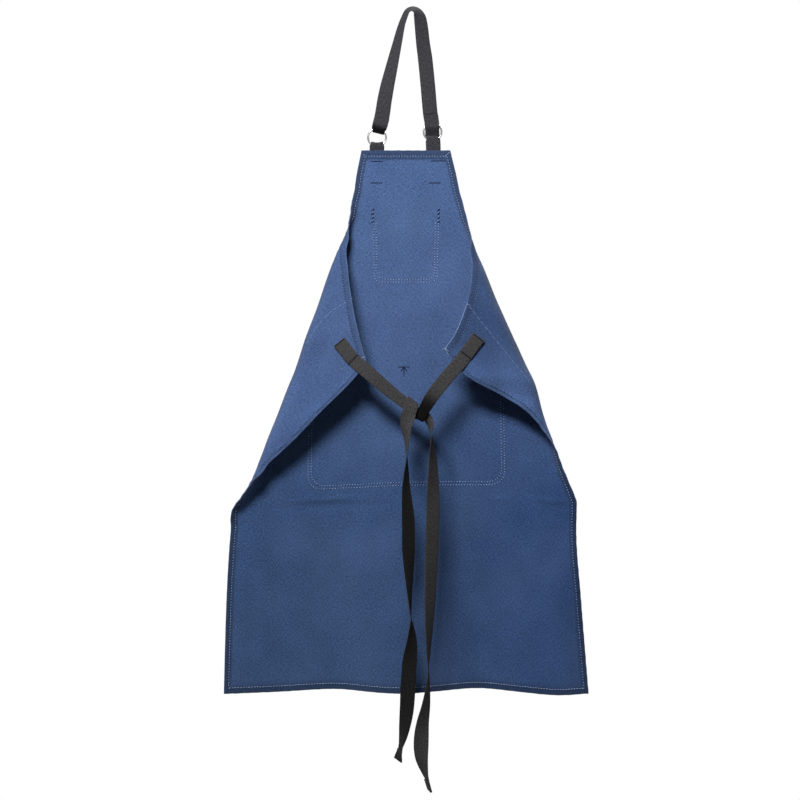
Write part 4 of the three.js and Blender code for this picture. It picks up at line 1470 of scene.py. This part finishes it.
def build_neck():
    """The neck strap, its rings and their tabs. The tacks are handed back, as for the ties."""
    webbing = webbing_material("strap_webbing", STRAP_GREY)
    nickel = nickel_material()
    frames = band_frames(NECK_STRAP)
    strap = make_webbing("strap", frames, webbing, 0, (), STRAP_FOLD_SHADE["at"], STRAP_FOLD_SHADE["reach"])
    dress(strap, "neck_strap")
    sewn_at = frames["length"][-1] - STRAP_SEWN
    tacks = [band_tack(frames, sewn_at, front_face(frames, sewn_at))]
    for side, ring in (("left", LEFT_RING), ("right", RIGHT_RING)):
        dress(make_ring(f"o_ring_{side}", ring, nickel), f"ring_{side}")
        tab_frames = band_frames(tab_route(TAB_X[side], ring))
        tab = make_tab(f"tab_{side}", tab_frames, ring, TAB_SAG[side], webbing)
        dress(tab, f"ring_tab_{side}")
        total = tab_frames["length"][-1]
        back_face = -front_face(tab_frames, total)
        tacks += [band_tack(tab_frames, total - back, back_face) for back in TAB_TACKS]
    return tacks


def build_trims(threads):
    """Stitches, dark dots between them, creases and knots on the canvas."""
    inner, outer, pockets = hem_lines(1), hem_lines(-1), pocket_lines()
    upper, bottom = inner[:-1], inner[-1:]
    edge, frayed_edge = flap_edge_line("top", "fray"), flap_edge_line("fray", "bottom")
    rows = (
        ("hem_stitches", "blue_thread", stitch_rows(upper, STITCH) + stitch_rows(bottom, LONG_STITCH)),
        ("outer_stitches", "deep_thread",
         stitch_rows(outer + divider_lines(), STITCH) + stitch_rows([edge], EDGE_THREAD)),
        ("pocket_stitches", "blue_thread", stitch_rows(pockets, STITCH)),
        ("dark_stitch_dots", "dark_stitch_dots", stitch_rows(inner + outer + pockets, DARK_DOT, begin=0.0)),
        ("flap_creases", "blue_thread",
         stitch_rows(crease_lines(), CREASE) + stitch_rows([frayed_edge], EDGE_THREAD)),
        ("thread_knots", "pale_thread", cross_tacks(THREAD_KNOTS, KNOT) + zigzag_meshes(PALE_LEGS)),
    )
    return [dress(make_threads(name, meshes, threads[thread])) for name, thread, meshes in rows]


def build_apron():
    """The whole apron: cloth, pockets, threads, neck strap, rings and ties."""
    canvas = canvas_material()
    cloth = dress(make_cloth(canvas), "apron_body")
    chest = dress(make_pocket("pocket_chest", CHEST_POCKET, canvas), "chest_pocket")
    front = dress(make_pocket("pocket_front", FRONT_POCKET, canvas), "front_pocket")
    threads = {name: thread_material(name, colour) for name, colour in THREADS.items()}
    trims = build_trims(threads)
    tacks = cross_tacks(BIB_TACKS, TACK) + zigzag_meshes(DARK_LEGS)
    tacks += build_neck() + build_ties()
    trims.append(dress(make_threads("tacks", tacks, threads["navy_thread"])))


def build_studio():
    """Light and floor."""
    bpy.context.scene.view_settings.view_transform = "Standard"
    add_world()
    for name, lamp in LAMPS.items():
        add_lamp(name, **lamp)
    add_floor()


add_camera()
build_apron()
build_studio()
